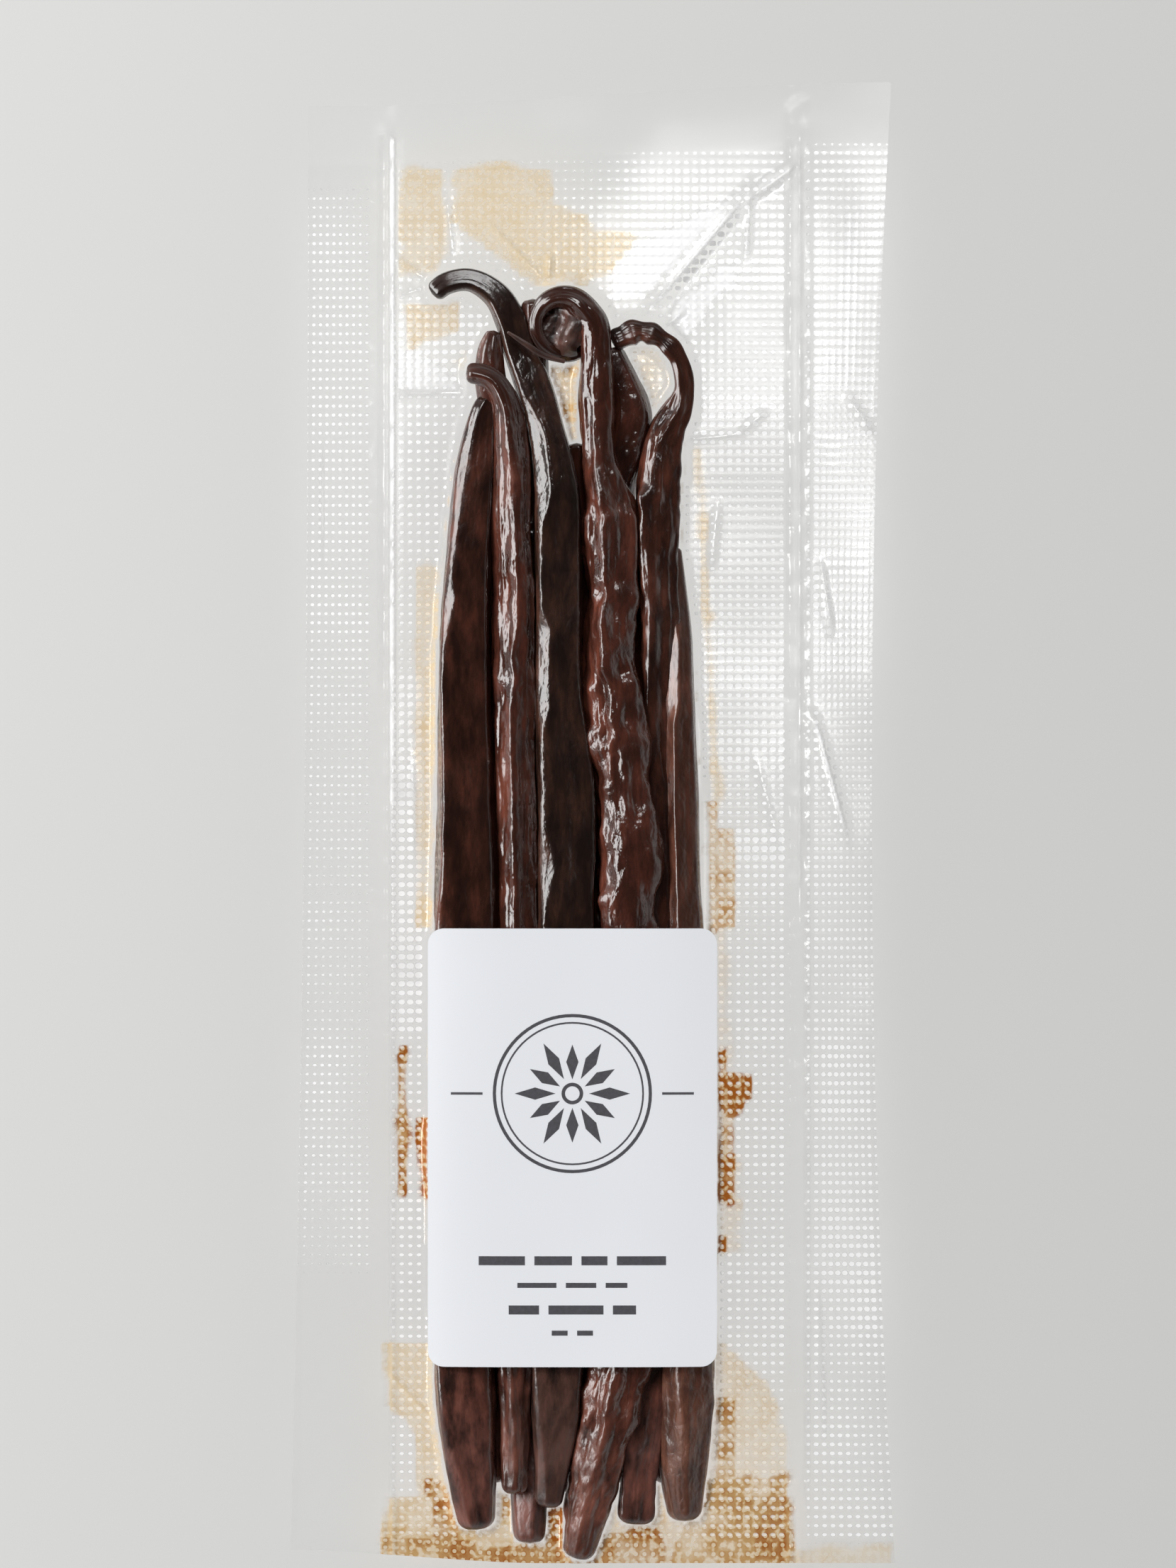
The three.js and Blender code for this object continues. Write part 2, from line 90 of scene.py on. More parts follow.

# Each pod: its route from the blunt foot to the tip, as [x, y, width there]; the length of its hook; the
# height of its middle along the body (lie), at the tip (nose) and at the foot (toe), and how far its very
# end sinks below that (drop); its skin; how wrinkled and how lumpy it is, and the share of its fine
# crumpling (crumple); the length of the tip that is darker (dark_tip); the faces round its section, each as
# where it points in degrees (0 to the left, 90 up) and its distance from the middle, or a list of [y,
# value] where that changes along the pod; its flat ridge, as where it points and its [y, width] along the
# pod; how far the section turns from end to end (twist); and the seed of its random waves.
FRONT_PODS = {
    "pod_left": {
        "route": [
            [-16, -98.2, 5], [-16.8, -89.2, 7], [-17.6, -78, 8.6], [-17.6, -45, 9], [-17.5, -10, 9.1],
            [-17.5, 4, 8], [-17.7, 25, 7.2], [-17.1, 37, 6.6], [-16.2, 48, 6.1], [-15.6, 53.6, 4.9],
            [-15.1, 57.4, 3.4], [-14.6, 59.2, 2.2],
        ],
        "hook": 4, "lie": 8, "nose": 6.2, "toe": 6.4,
        "skin": "dark", "wrinkle": 0.5, "lumps": 0.35, "twist": 0, "seed": 11, "crumple": 0.6,
        "faces": [[5, 0.92], [106, 0.8], [165, 0.95], [230, 0.9], [300, 0.9]],
        "ridge": [
            57, [[-90, 1.4], [-76, 0.6], [-30, 0.5], [18, 0.6], [26, 1.2], [31, 2.0], [34, 1.0], [50, 1.7],
                 [58, 1.3]],
        ],
    },
    "pod_short_hook": {
        "route": [
            [-10.9, -93.2, 3.6], [-10.8, -84, 4.4], [-10.7, -70, 5.4], [-10.4, -10, 5.6], [-10.7, 4, 5.8],
            [-11, 28, 6.2], [-11.2, 42, 5.8], [-11.3, 52, 5.1], [-11.6, 56, 4.6], [-12.4, 59, 3.8],
            [-14, 61.4, 3.2], [-15.8, 62.2, 3], [-17.6, 62.3, 2.8],
        ],
        "hook": 12, "lie": 8.5, "nose": 7.6, "toe": 7.2,
        "skin": "red", "wrinkle": 1.4, "lumps": 1.5, "twist": 0, "seed": 24,
        "faces": [
            [[[-90, 10], [22, 10], [28, 34], [48, 34], [52, 10]], 0.86],
            [[[-90, 62], [-80, 34], [16, 34], [20, 60], [23, 34], [28, 58], [47, 60], [52, 36]], 0.8],
            [128, [[20, 0.86], [28, 1.02], [48, 1.02], [56, 0.86]]], [190, 0.95], [250, 0.9], [310, 0.9],
        ],
        "ridge": [88, [[-80, 0.3], [20, 0.3], [30, 0.2], [60, 0.4]]],
    },
    "pod_long_hook": {
        "route": [
            [-6.2, -95.1, 3.6], [-5.6, -89.2, 5], [-5, -82, 6.9], [-4.3, -45, 8], [-3.8, -10, 8.4],
            [-3.7, 4, 8.4], [-4.7, 18, 7.1], [-4.8, 36, 6.8], [-5, 46, 6.3], [-6.6, 55.4, 5], [-8.3, 61, 5.1],
            [-10.2, 65.8, 4.5], [-11.3, 69.6, 4.4], [-13.4, 73.3, 3.8], [-17, 75.4, 3.2], [-20.3, 74.9, 3.1],
            [-22.3, 73.4, 2.9],
        ],
        "hook": 24, "lie": 8.7, "nose": 6, "toe": 7.2,
        "skin": "black", "wrinkle": 0.45, "lumps": 0.35, "twist": 0, "seed": 37, "crumple": 0.8,
        "faces": [[8, 0.95], [109, 0.8], [172, 0.95], [240, 0.9], [305, 0.9]],
        "ridge": [
            57, [[-92, 1.6], [-80, 0.6], [-14, 0.6], [-6, 2.6], [-1, 0.8], [13, 0.8], [16, 2.2], [27, 2.4],
                 [30, 0.8], [41, 0.9], [46, 2.6], [54, 2.2], [60, 0.6], [75, 0.8]],
        ],
    },
    "pod_rolled": {
        "route": [
            [-2.1, -102.3, 4.4], [-0.6, -96, 6.2], [0.9, -90, 6.8], [3.9, -76, 9], [4.6, -45, 9],
            [4.8, -8, 8.7], [4, 5, 8], [2.9, 18.4, 9], [2.2, 26, 7.5], [2.5, 33, 7.4], [2.2, 44, 7.1],
            [1, 50.4, 4.9], [0.5, 59.5, 4.7], [0.5, 65.5, 4.5], [0.1, 69.2, 4.2],
        ],
        "hook": 30, "lie": 8.4, "nose": 7.6, "toe": 6.4, "dark_tip": 24, "drop": 3.4,
        "skin": "red", "wrinkle": 1.2, "lumps": 2.1, "twist": 0, "seed": 43,
        "faces": [
            [12, 0.92],
            [[[-80, 40], [-30, 30], [-17, 34], [-15, 58], [5, 59], [7, 32], [9, 36], [10, 58], [13, 58],
              [14, 32], [19, 58], [21, 30], [30, 34], [31.5, 58], [33.5, 32], [41, 34], [42.5, 56], [44, 32],
              [50, 34], [52, 65], [66, 64], [69, 60], [72, 40]],
             [[-80, 0.82], [49, 0.82], [53, 0.76], [66, 0.77], [70, 0.82]]],
            [118, [[-80, 0.82], [46, 0.82], [52, 0.95], [62, 0.95], [66, 0.82]]],
            [170, 0.95], [235, 0.9], [300, 0.9],
        ],
        "ridge": [
            84, [[-80, 0.4], [-14, 0.5], [-10, 1.8], [1, 2.2], [3, 0.4], [6, 1.6], [15, 1.4], [18, 0.3],
                 [60, 0.3]],
        ],
    },
    "pod_right_hook": {
        "route": [
            [5.8, -97.5, 4.7], [6.4, -90, 5], [7.7, -79, 5.6], [9.3, -45, 5.6], [9.9, -10, 5.2], [9.2, 18, 5],
            [9.2, 32, 5.6], [9, 43, 6.6], [9.5, 51.5, 5.7], [10.4, 54.4, 4.9], [11.9, 57.4, 4],
            [12.7, 60, 2.9], [12.6, 62.2, 2.8], [11.9, 64.4, 2.5], [10.8, 66.1, 2.8], [9.5, 67.2, 2.4],
            [8.2, 67.9, 3.2], [6.9, 68.2, 2.7], [5.6, 68.1, 3.6], [4.2, 67.5, 3], [2.6, 66.8, 3.5],
        ],
        "hook": 22, "lie": 7.4, "nose": 6.2, "toe": 6.2,
        "skin": "dark", "wrinkle": 1.6, "lumps": 2.1, "twist": 0, "seed": 58, "crumple": 0.8,
        "faces": [[6, 0.92], [114, 0.82], [190, 0.95], [250, 0.9], [310, 0.9]],
        "ridge": [
            60, [[-80, 0.5], [-20, 0.4], [22, 0.6], [31, 1.0], [40, 1.2], [44, 0.5], [47, 2.6], [57, 2.4],
                 [60, 0.8], [66, 0.7]],
        ],
    },
    "pod_thin_right": {
        "route": [
            [12.8, -97, 4.6], [12.6, -89.2, 6.8], [12.8, -82, 7.8], [13.1, -45, 7.6], [12.4, -10, 5.4],
            [12.1, 4, 5.2], [11.8, 18, 4.7], [11.8, 25.4, 4.2], [11.6, 32.5, 2.9], [11.4, 38.2, 1.8],
        ],
        "hook": 4, "lie": 7.8, "nose": 6.4, "toe": 6.4,
        "skin": "pale", "wrinkle": 0.6, "lumps": 0.45, "twist": 0, "seed": 66,
        "faces": [
            [20, 0.92], [[[-88, 56], [-76, 30], [14, 30], [17, 58], [25, 58], [28, 30]], 0.86], [122, 0.86],
            [175, 0.95], [240, 0.9], [305, 0.9],
        ],
        "ridge": [84, [[-80, 0.5], [-20, 0.4], [10, 0.4], [34, 0.2]]],
    },
}

REAR_FACES = [[10, 0.95], [60, 0.9], [115, 0.9], [175, 0.95], [240, 0.9], [300, 0.9]]
REAR_PODS = {
    "back_pod_1": {
        "route": [
            [-14.4, -92, 5], [-14.2, -60, 7.4], [-13.8, 0, 7.4], [-13.6, 38, 7], [-13.4, 55, 4.6],
            [-14.2, 62, 4.4], [-14.2, 65.6, 3.6], [-13.7, 68.4, 1.8],
        ],
        "hook": 5, "lie": REAR_HEIGHT, "nose": 6.4, "toe": 4,
        "skin": "red", "wrinkle": 0.8, "lumps": 0.6, "twist": 30, "seed": 71, "faces": REAR_FACES,
    },
    "back_pod_2": {
        "route": [
            [-8.8, -100.2, 4.4], [-8.8, -93, 5.2], [-8.5, -75, 7], [-8.2, -40, 7.4], [-7.7, 10, 7.2],
            [-7.6, 44, 6.2], [-8, 62, 4], [-8.3, 72.8, 3.2],
        ],
        "hook": 6, "lie": REAR_HEIGHT, "nose": 5.6, "toe": 5.4,
        "skin": "dark", "wrinkle": 0.9, "lumps": 0.6, "twist": -30, "seed": 83, "faces": REAR_FACES,
    },
    "back_pod_3": {
        "route": [
            [-1.6, -94, 5], [-1.2, -60, 7.2], [-0.8, 0, 7.2], [-1.3, 30, 5.6], [-2, 44, 3.2], [-2.2, 50, 2.4],
            [-2.2, 52.8, 2.6],
        ],
        "hook": 4, "lie": REAR_HEIGHT, "nose": 5.2, "toe": 4,
        "skin": "red", "wrinkle": 1.0, "lumps": 0.6, "twist": 40, "seed": 97, "faces": REAR_FACES,
    },
    "back_pod_4": {
        "route": [
            [4.6, -92, 5], [5.2, -60, 7.2], [5, 0, 7.2], [3, 30, 6.8], [2.6, 46, 6.6], [3.8, 52, 6.8],
            [4.9, 56.8, 6.6], [3.9, 61, 5.2], [2.2, 66, 3.6],
        ],
        "hook": 16, "lie": REAR_HEIGHT, "nose": 5.6, "toe": 4,
        "skin": "red", "wrinkle": 0.6, "lumps": 0.6, "twist": -20, "seed": 101, "faces": REAR_FACES,
    },
    "back_pod_5": {
        "route": [
            [10.6, -92, 5], [10.8, -60, 7.4], [10, 0, 7.4], [8.2, 24, 7], [7.6, 34, 5.6], [8, 45, 3],
        ],
        "hook": 4, "lie": REAR_HEIGHT, "nose": 4.6, "toe": 4,
        "skin": "dark", "wrinkle": 1.0, "lumps": 0.6, "twist": 30, "seed": 113, "faces": REAR_FACES,
    },
}

# The tip of the rolled pod: a curl that narrows at once and goes most of the way round a dark middle.
ROLL_CENTRE = (-3.8, 69.3)
ROLL_STRETCH = 1.04  # length of the curl over its width
ROLL_RADII = (3.15, 3.0)  # from its middle to the middle of the pod, at its start and at its end
ROLL_WIDTHS = (4.1, 2.1)
ROLL_NARROWING = 2.5  # one over the share of the curl in which it narrows
ROLL_START = 42  # degrees from +X
ROLL_SWEEP = 330  # degrees, anticlockwise
ROLL_POINTS = 26

SMALL_PIECES = {
    "rolled_core": {
        "route": [[-4.6, 64.8, 4.4], [-4.2, 66.4, 6], [-3.6, 68.6, 6.8], [-3.2, 70.8, 5.8], [-3, 72.4, 4]],
        "hook": 1, "lie": 6, "nose": 5.6, "toe": 5.6,
        "skin": "black", "wrinkle": 6, "lumps": 8, "twist": 90, "seed": 139, "faces": REAR_FACES,
    },
    "stray_stalk": {
        "route": [[-11.8, 68, 0.4], [-9.4, 66.4, 0.8], [-6.8, 64.8, 0.9], [-3.8, 63.9, 0.6]],
        "hook": 1, "lie": 9.6, "nose": 8.2, "toe": 9.4,
        "skin": "black", "wrinkle": 0.4, "lumps": 0.4, "twist": 60, "seed": 131, "faces": REAR_FACES,
    },
}

# Wrinkles of a pod's skin: [length of a fold, folds round the pod, height], coarse to fine.
FOLDS = [[30, 7, 0.26], [12, 13, 0.18], [5, 24, 0.12], [2.4, 40, 0.07]]
FOLD_CREST = (0.5, 1.6)  # height of its crest and how much it falls, as shares of its height
# Lumps and dents: [length, lumps round the pod, height].
LUMPS = [[9, 4, 0.36], [4.2, 8, 0.28], [2.1, 14, 0.18], [1.2, 22, 0.09]]
FULL_WIDTH = 9  # width of a pod that has wrinkles of their full height
THIN_PARTS = 1.9  # power of the width by which thinner pods are less wrinkled
FOOT_WRINKLES = 0.25  # how much more the foot is wrinkled
BLUNTNESS = 0.75  # length of the round edge of an end over half its width
END_ROUNDNESS = 2.4  # 2 where that edge is a quarter of an ellipse, more where it is squarer
MATT_FOOT = (10, 30)  # lengths from the foot over which the skin turns from matt to glossy
CRUMPLE = ((3, 7), (0.2, 1.0))  # widths of a pod, and how crumpled its skin is there
SEED_SPACING = 7  # distance between the patterns of two pods whose seeds follow each other
POD_TOP = 12.3  # no pod stands higher than this
LABEL_PRESS = 0.22  # space under the label that pods keep
PRESS_FADE = (0.5, 6)  # distances from the label over which its pressure fades

# ---- skins: a dark and a light colour of the streaks, the light one also painted on a pod's left side as window light, the colour of the foot, and how rough the skin is ----

SKINS = {
    "black": {
        "dark": (0.009, 0.0055, 0.0045), "light": (0.105, 0.044, 0.029), "foot": (0.15, 0.067, 0.051),
        "roughness": 0.19,
    },
    "dark": {
        "dark": (0.014, 0.006, 0.0046), "light": (0.155, 0.048, 0.029), "foot": (0.25, 0.09, 0.066),
        "roughness": 0.19,
    },
    "red": {
        "dark": (0.032, 0.011, 0.0076), "light": (0.18, 0.053, 0.033), "foot": (0.24, 0.083, 0.055),
        "roughness": 0.18,
    },
    "pale": {
        "dark": (0.040, 0.0155, 0.0106), "light": (0.21, 0.078, 0.049), "foot": (0.26, 0.106, 0.066),
        "roughness": 0.22,
    },
}

# The patterns of a pod's skin: [scale, share of it along the pod, detail, roughness].
SKIN_PATTERNS = {
    "streak": (800, 0.22, 4, 0.65),
    "blotch": (190, 0.5, 3, 0.55),
    "mottle": (420, 0.45, 5, 0.62),
    "crepe": (600, 0.6, 3, 0.5),
    "fine": (1500, 0.6, 3, 0.6),
}
# The values of these patterns that count as none and as all.
PATTERN_RANGES = {"streak": (0.36, 0.64), "blotch": (0.35, 0.68), "mottle": (0.36, 0.62)}
# How each thing lightens the skin and the foot: [slope, start] of a line through it, or the slope alone.
SKIN_LIGHT = {
    "streak": (0.6, 0.3),
    "blotch": (0.6, 0.6),
    "mottle": (1.3, 0.25),
    # the side to the left of a pod's route is painted lighter, as if lit by the window
    "side": (0.6, 0.4),
    "tip": (-0.7, 1.0),
}
FOOT_LIGHT = {"streak": 0.25, "blotch": (0.6, 0.4), "mottle": 0.85}
GLOSS = {"best": -0.09, "blotch": 0.14, "foot": 0.15}  # what each adds to the roughness of a skin
CRACKS = {"scale": 750, "stretch": 0.6, "reach": 0.2, "depth": 0.14}
FINE_DEPTH = 0.25
SKIN_BUMP = 0.2 * MM
SKIN_IOR = 1.7  # high, because the skin is oily

# ---- the film, in millimetres ----

DIMPLES = (70, 164)  # number of dimples across the pouch and along it
DIMPLE_ACROSS = (HIGH[0] - LOW[0]) / DIMPLES[0]
DIMPLE_ALONG = (HIGH[1] - LOW[1]) / DIMPLES[1]
COLUMNS_PER_DIMPLE = 3
ROWS_PER_DIMPLE = 4
FRONT_SHEETS = {"film_front": (11, 59), "film_front_left": (0, 11), "film_front_right": (59, 70)}
BACK_GRID = (0.8, 1.05)  # column and row of the plain sheet at the back
SEAM_HEIGHT = 5.5
SHEET_GAP = 0.06  # half the gap between the two sheets where they touch
CLEARANCE = 0.16  # between the film and the skin under it
FAR_DOWN = -1e3  # height where no skin lies under the film
TABLE_FILM = 0.03  # lowest point of the film above the table
TENT_PULL = 4.0  # curvature, per mm, with which the vacuum draws the film down beside a pod
TENT_ROUNDS = 160  # steps in which the sheet settles
FRONT_SEED = 5
FILM_PATTERN = (50, 110)  # shifts of the film's random waves, across and along

# Heights over which the film's state changes, each as [none, all].
PARTED = (0.25, 1.2)  # above the skin: from lying on it to standing free
NEAR_SKIN = (4, 5.5)  # of the skin above the table: the film counts as lying on it whatever the gap
ON_POD = (3.4, 4.6)  # of the skin above the table: no oil shows on it
LIFTED = (0.25, 2.0)  # above the seams: where the film leaves their level
FRINGE_TOP = (1.5, 3)  # above the seams: where the oil beside the pods ends
OIL_TOP = (0.8, 2.4)  # above the seams: where all oil ends

# The pouch's outline. A side edge is x at mid height, and what it gains with y as a share of the half
# length and with the square of that. The top edge is y at the left, and what it gains to the right between
# two x. The foot edge is what it stands above the lowest point at the left, and the two x between which it
# comes down.
LEFT_EDGE = (-40.1, 1.25, -0.65)
RIGHT_EDGE = (38.8, -0.25, 2.95)
TOP_EDGE = (99.6, 3.3, (-36, 42))
FOOT_EDGE = (1.8, (-42, -6))
STRAIGHT_ACROSS = 31.5  # the grid is stretched to the outline only outside these
STRAIGHT_TOP = 94
STRAIGHT_BOTTOM = -97

LEFT_SEAM = (-30.8, -27.9)  # x of the two edges of each smooth side seam
RIGHT_SEAM = (27.2, 29.8)
TOP_SEAM = ((-28, 28), (91.4, 94.2))  # x at the left and at the right, and y of its lower edge there
FOOT_SEAM = -99.8
SEAM_FADE = {"side": (0.4, 0.2), "top": (0.6, 0.5), "foot": (0.6, 0.4)}  # before and past an edge
SEAM_RIDGES = ((-29.1, 0.16), (-27.8, 0.2), (27.4, 0.12), (28.9, 0.18), (29.9, 0.1))  # x and height
SEAM_RIDGE_HALF = 0.55  # half width of a ridge
SEAM_RIDGE_TOP = 96  # y at which the ridges end
PUCKERS = (0.11, 0.05)  # height of the short wrinkles across the right seam and across the left one
PUCKER_SIZE = (0.9, 3.2)  # their length along the seam and across it
WAVES = ((0.3, 34, 26), (0.12, 13, 10))  # waves of the free film: height, length and width
FLAP_EDGE = 31  # the left flap sinks outside this
FLAP_DROOP = 0.05  # with this slope

# Painted highlights along the seams, as bright lines: [x, y from, y to, whiteness].
SEAM_HIGHLIGHTS = [
    [-27.9, 0, 97, 1.8], [-27.9, -100, 0, 0.4], [-29.4, 20, 97, 0.3], [27.3, 30, 96, 0.3],
    [28.9, -10, 96, 0.4], [29.9, -95, 70, 0.3], [-39.3, 38, 52, 0.6],
]
CREST = 0.5  # half width of a painted bright line
LINE_FADE = (4, 1)  # how far a bright line takes to fade inside its ends, and past its upper one

# Creases in the free film: [x and y of one end, x and y of the other, height, half width].
CREASES = [
    [7.4, 70.8, 22.4, 88.6, 0.5, 1.5],
    [21.6, 86.6, 28.6, 91.6, 0.35, 1.1],
    [10, 71, 22, 85.4, -0.35, 1.1],
    [21.9, 89, 21.2, 78, 0.3, 0.9],
    [-6.5, 74.9, -15.4, 84.3, 0.22, 0.8],
    [-20.6, 88.2, -19.3, 77.9, 0.2, 0.8],
    [-6, 79, -6.2, 75.2, 0.3, 0.8],
    [-27.2, 78.4, -23.4, 75.6, 0.2, 0.7],
    [-26.6, 73.4, -23.8, 74.2, 0.2, 0.7],
    [-28, 59.6, -18.6, 59.8, 0.22, 0.8],
    [13.2, 53.2, 20.4, 54, 0.24, 0.8],
    [20.4, 54, 24, 57.2, 0.24, 0.8],
    [5, 62.5, 3.4, 57, 0.15, 0.6],
    [12.8, 71.4, 9.8, 68.6, 0.24, 0.7],
    [30, 16, 37.4, -3, 0.5, 1.7],
    [36.6, 59, 41, 54.6, 0.35, 1.1],
    [31.6, 36.5, 34, 26, 0.3, 1.2],
    [-28.7, -75.8, -22, -83.4, 0.24, 0.8],
    [-11.6, -92.4, -7.4, -94.6, 0.3, 0.7],
    [-7.4, -94.6, -3.6, -93.8, 0.25, 0.6],
    [17.4, 45, 16.4, 35, 0.16, 0.8],
    [22.5, 10, 26, -4, 0.14, 0.9],
    [-25.5, 12, -24.6, -6, 0.14, 0.8],
    [31.4, -62, 32.4, -88, 0.18, 0.9],
]
CREASE_ENDS = 0.3  # share of a crease over which each end fades
CREASE_SHARPNESS = 1.4  # 1 where a crease is a plain ridge, more where its crest is sharper
CREASE_CREST = 0.4  # share of its half width that has a painted highlight
CREASE_HIGHLIGHT = 2.2  # brightness of that painted highlight for each mm of height
BACK_CREASES = 0.8  # how much of the creases the back sheet has
BACK_HAZE = 0.5  # how solid the back sheet looks, over the front one

# Patches of painted reflection, where the free film mirrors the window: [whiteness, corners of its outline].
SHEEN = [
    [1.0, [2.6, 73], [2.6, 76.9], [6.5, 80.4], [11.7, 83.6], [16.9, 86], [21, 88.2], [18.8, 84.8], [14.4, 80],
     [10.4, 76], [8.4, 73], [4.7, 72.6]],
    [0.9, [11.2, 72.6], [13, 74.3], [16, 75.6], [17.8, 77.8], [20.8, 78.2], [19.9, 74.3], [17.3, 72.1],
     [14.7, 69.1], [13.4, 66.9], [12.1, 67.4], [10.8, 70.4]],
    [0.6, [22.1, 89], [24.7, 90.8], [27.8, 91.2], [27.8, 87.8], [24.7, 86], [22.1, 86.9]],
    [0.7, [-27.2, 65.9], [-24.3, 64.9], [-21.3, 63.5], [-18, 61.2], [-18.6, 59.4], [-27.2, 59.4]],
    [0.5, [35.6, 85], [37.9, 85], [38, 70], [37.6, 61], [35.4, 61], [35.2, 75]],
]
SHEEN_EDGE = (-0.6, 1.1)  # distances inside a patch at which it is clear, and white
SHEEN_RAGGED = 0.5  # how far the sparkle moves that edge
SHEEN_DIMPLES = 0.3  # how much less white a patch is in the middle of a dimple

# How white the dimples are, as frosting and painted glints: [x from, x to, y from, y to, whiteness], the
# highest of those that meet.
FROST_AND_GLINT = [
    [-28, 27, -110, 110, 0.45],
    [28, 43, -110, 110, 0.6],
    [-43, -31, -10, 88, 1.0],
    [-43, -31, -62, -10, 1.0],
    [-29, -13, 60.5, 71, 0.95],
    [-28, -18, 28, 60, 0.5],
    [-28.5, -23, -30, 21, 1.0],
    [-28.5, -17, -100, -30, 0.55],
    [14, 27.5, -100, 40, 0.62],
    [14, 27.5, 18, 27, 0.95],
    [16, 27.5, 7, 13.5, 0.9],
    [19, 27.5, -6, 0, 0.9],
    [14, 27.5, 48, 60, 0.8],
    [4, 27.5, 74, 92, 0.95],
    [30, 42, 20, 98, 1.0],
    [30, 37, -6, 18, 0.7],
    [31, 42, -72, -30, 0.8],
]
FROST_AND_GLINT_EDGE = 2.4  # width over which the whiteness fades out
FROST_AND_GLINT_CLOUDS = ((0.22, 8, 6), (0.14, 2.6, 12))  # how much it varies, and the length and width of its clouds
SPARKLE = (0.4, 1.6, 1.3)  # the same of the painted bright lines

# How much fainter the dimples are in some places, and where.
MARGIN = (30.5, 31.5)  # distances from the middle at which the left margin sets in
MARGIN_FAINT = (0.58, 0.15, (0, 40))  # in the margin; and how much less so above, and between which y
MARGIN_BARE = (55, 85)  # distances below the middle over which the margin loses its dimples
TOP_FAINT = (0.45, (80, 93))  # near the top, and between which y
FLAT_SLOPE = (0.12, 0.32)  # slopes over which the film's haze ends
GENTLE_SLOPE = (0.35, 0.9)  # slopes over which the white spots of its dimples, frosting and painted glints, end
CUT_EDGE = (40.9, 102.3)  # the film is hazier outside these
EDGE_HAZE = (0.3, 0.4)  # how much more, and over what width
SLOPE_HAZE = 0.05  # the share of the haze that a slope keeps
TOP_CLEAR = 0.75  # how much clearer the top seam is

# Vanilla oil between the sheets: [strength, tone from tan (0) to red-brown (1), corners of its outline].
STAINS = [
    [0.62, 0.06, [-26, 91], [-20.8, 91], [-20.6, 79], [-22, 76], [-27, 76]],
    [0.66, 0.04, [-19.2, 91.2], [-5.5, 91.2], [-5.7, 86.6], [-1, 84.9], [0.2, 82.6], [6, 81.4], [2.5, 77],
     [-1, 75], [-7, 74], [-13, 78.5], [-16.4, 81.3], [-19.2, 84]],
    [0.6, 0.12, [-26.2, 72], [-18.4, 72.4], [-18.6, 68.2], [-25, 66.6]],
    [0.35, 0.1, [-17.6, 66], [-16.2, 62], [-17.5, 61], [-19.4, 64]],
    [0.4, 0.08, [-24.4, 36], [-21.6, 36], [-21.8, -13], [-24.4, -14]],
    [0.7, 0.1, [-19.6, 44], [-18.8, 46], [-20.8, 20], [-22.6, 2], [-22.9, -14], [-24.2, -14], [-23.4, 18]],
    [1.0, 0.3, [-6.4, 63.6], [-1, 64.4], [-1.8, 52], [-2, 40], [-3.2, 40], [-4.6, 52]],
    [0.35, 0.1, [4.6, 66.4], [9, 66], [11.6, 61], [8, 56], [5.6, 61]],
    [0.6, 0.12, [14.2, 52], [15.1, 52], [16.8, 20], [17.6, 2], [16.8, 2], [16, 20]],
    [0.7, 0.42, [15.6, 3], [17.4, 3], [17.6, -0.6], [19.8, -0.8], [19.8, -14.6], [16, -15]],
    [1.0, 0.7, [-27.0, -32.5], [-26.2, -31.5], [-25.8, -51.5], [-27.2, -51.5]],
    [0.75, 0.85, [-23.8, -41], [-22.8, -41], [-22.8, -58], [-23.8, -58]],
    [0.3, 0.2, [17.2, -14], [18.8, -14], [20.5, -60], [17.2, -60]],
    [1.0, 1.0, [17.6, -31.5], [18.6, -31.5], [19, -34.6], [21.8, -35.2], [21.8, -38.4], [19.6, -41.5],
     [18.9, -52.4], [17.6, -52.4]],
    [0.8, 0.9, [17.6, -57.6], [18.6, -57.6], [18.6, -59.4], [17.6, -59.4]],
    [0.6, 0.08, [-28.6, -72.6], [-22, -72.6], [-21, -86], [-20, -94], [-24, -94.4], [-24.2, -85],
     [-28.6, -80.6]],
    [0.95, 0.7, [-22.9, -91.6], [-19.6, -91.6], [-18.4, -100], [-22.6, -100]],
    [0.85, 0.22, [-28.6, -94], [-20, -93], [-16, -98.4], [-10, -95], [-9, -104], [-29.6, -104]],
    [1.0, 0.62, [-20, -100.4], [-8, -100.2], [-2, -99], [-2, -104], [-20, -104]],
    [0.85, 0.5, [-13.4, -91], [-3, -94], [-3.4, -104], [-12, -104]],
    [1.0, 1.0, [-6.6, -95.2], [-3.3, -94.2], [-3.2, -101.6], [-6, -101.6]],
    [0.95, 0.68, [-1, -99.6], [3, -97.8], [9.6, -98], [11, -104], [-1, -104]],
    [0.7, 0.3, [5.4, -89], [10, -96], [13, -98], [5, -98]],
    [0.85, 0.5, [16.8, -79.6], [19.4, -80.2], [20, -91.4], [16.8, -91.4]],
    [0.45, 0.12, [17, -72], [24, -78], [27.4, -86], [27.4, -93], [17, -93]],
    [0.95, 0.42, [14.6, -91], [27.6, -90], [27.8, -104], [10, -104], [12, -97]],
    [1.0, 0.62, [20.4, -92.6], [23.4, -93], [22.8, -95], [20.4, -95]],
    [1.0, 0.66, [23.6, -93], [27.3, -92.6], [27.5, -103.4], [22, -102.6]],
    [0.5, 0.1, [27, -100.4], [42, -100.2], [42, -104], [27, -104]],
    [0.6, 0.2, [-20, -90], [17, -90], [17, -104], [-20, -104]],
    [0.95, 0.5, [-28.8, -99.6], [-19, -99.6], [-19, -104], [-29.6, -104]],
]
OIL_CREEP = 0.5  # 0 where the oil's edge steps from dimple to dimple, 1 where it takes no heed of them
OIL_CLOUDS = ((6.1, 5.3), (1.9, 1.8))  # length and width of the broad and of the fine waves of its edge
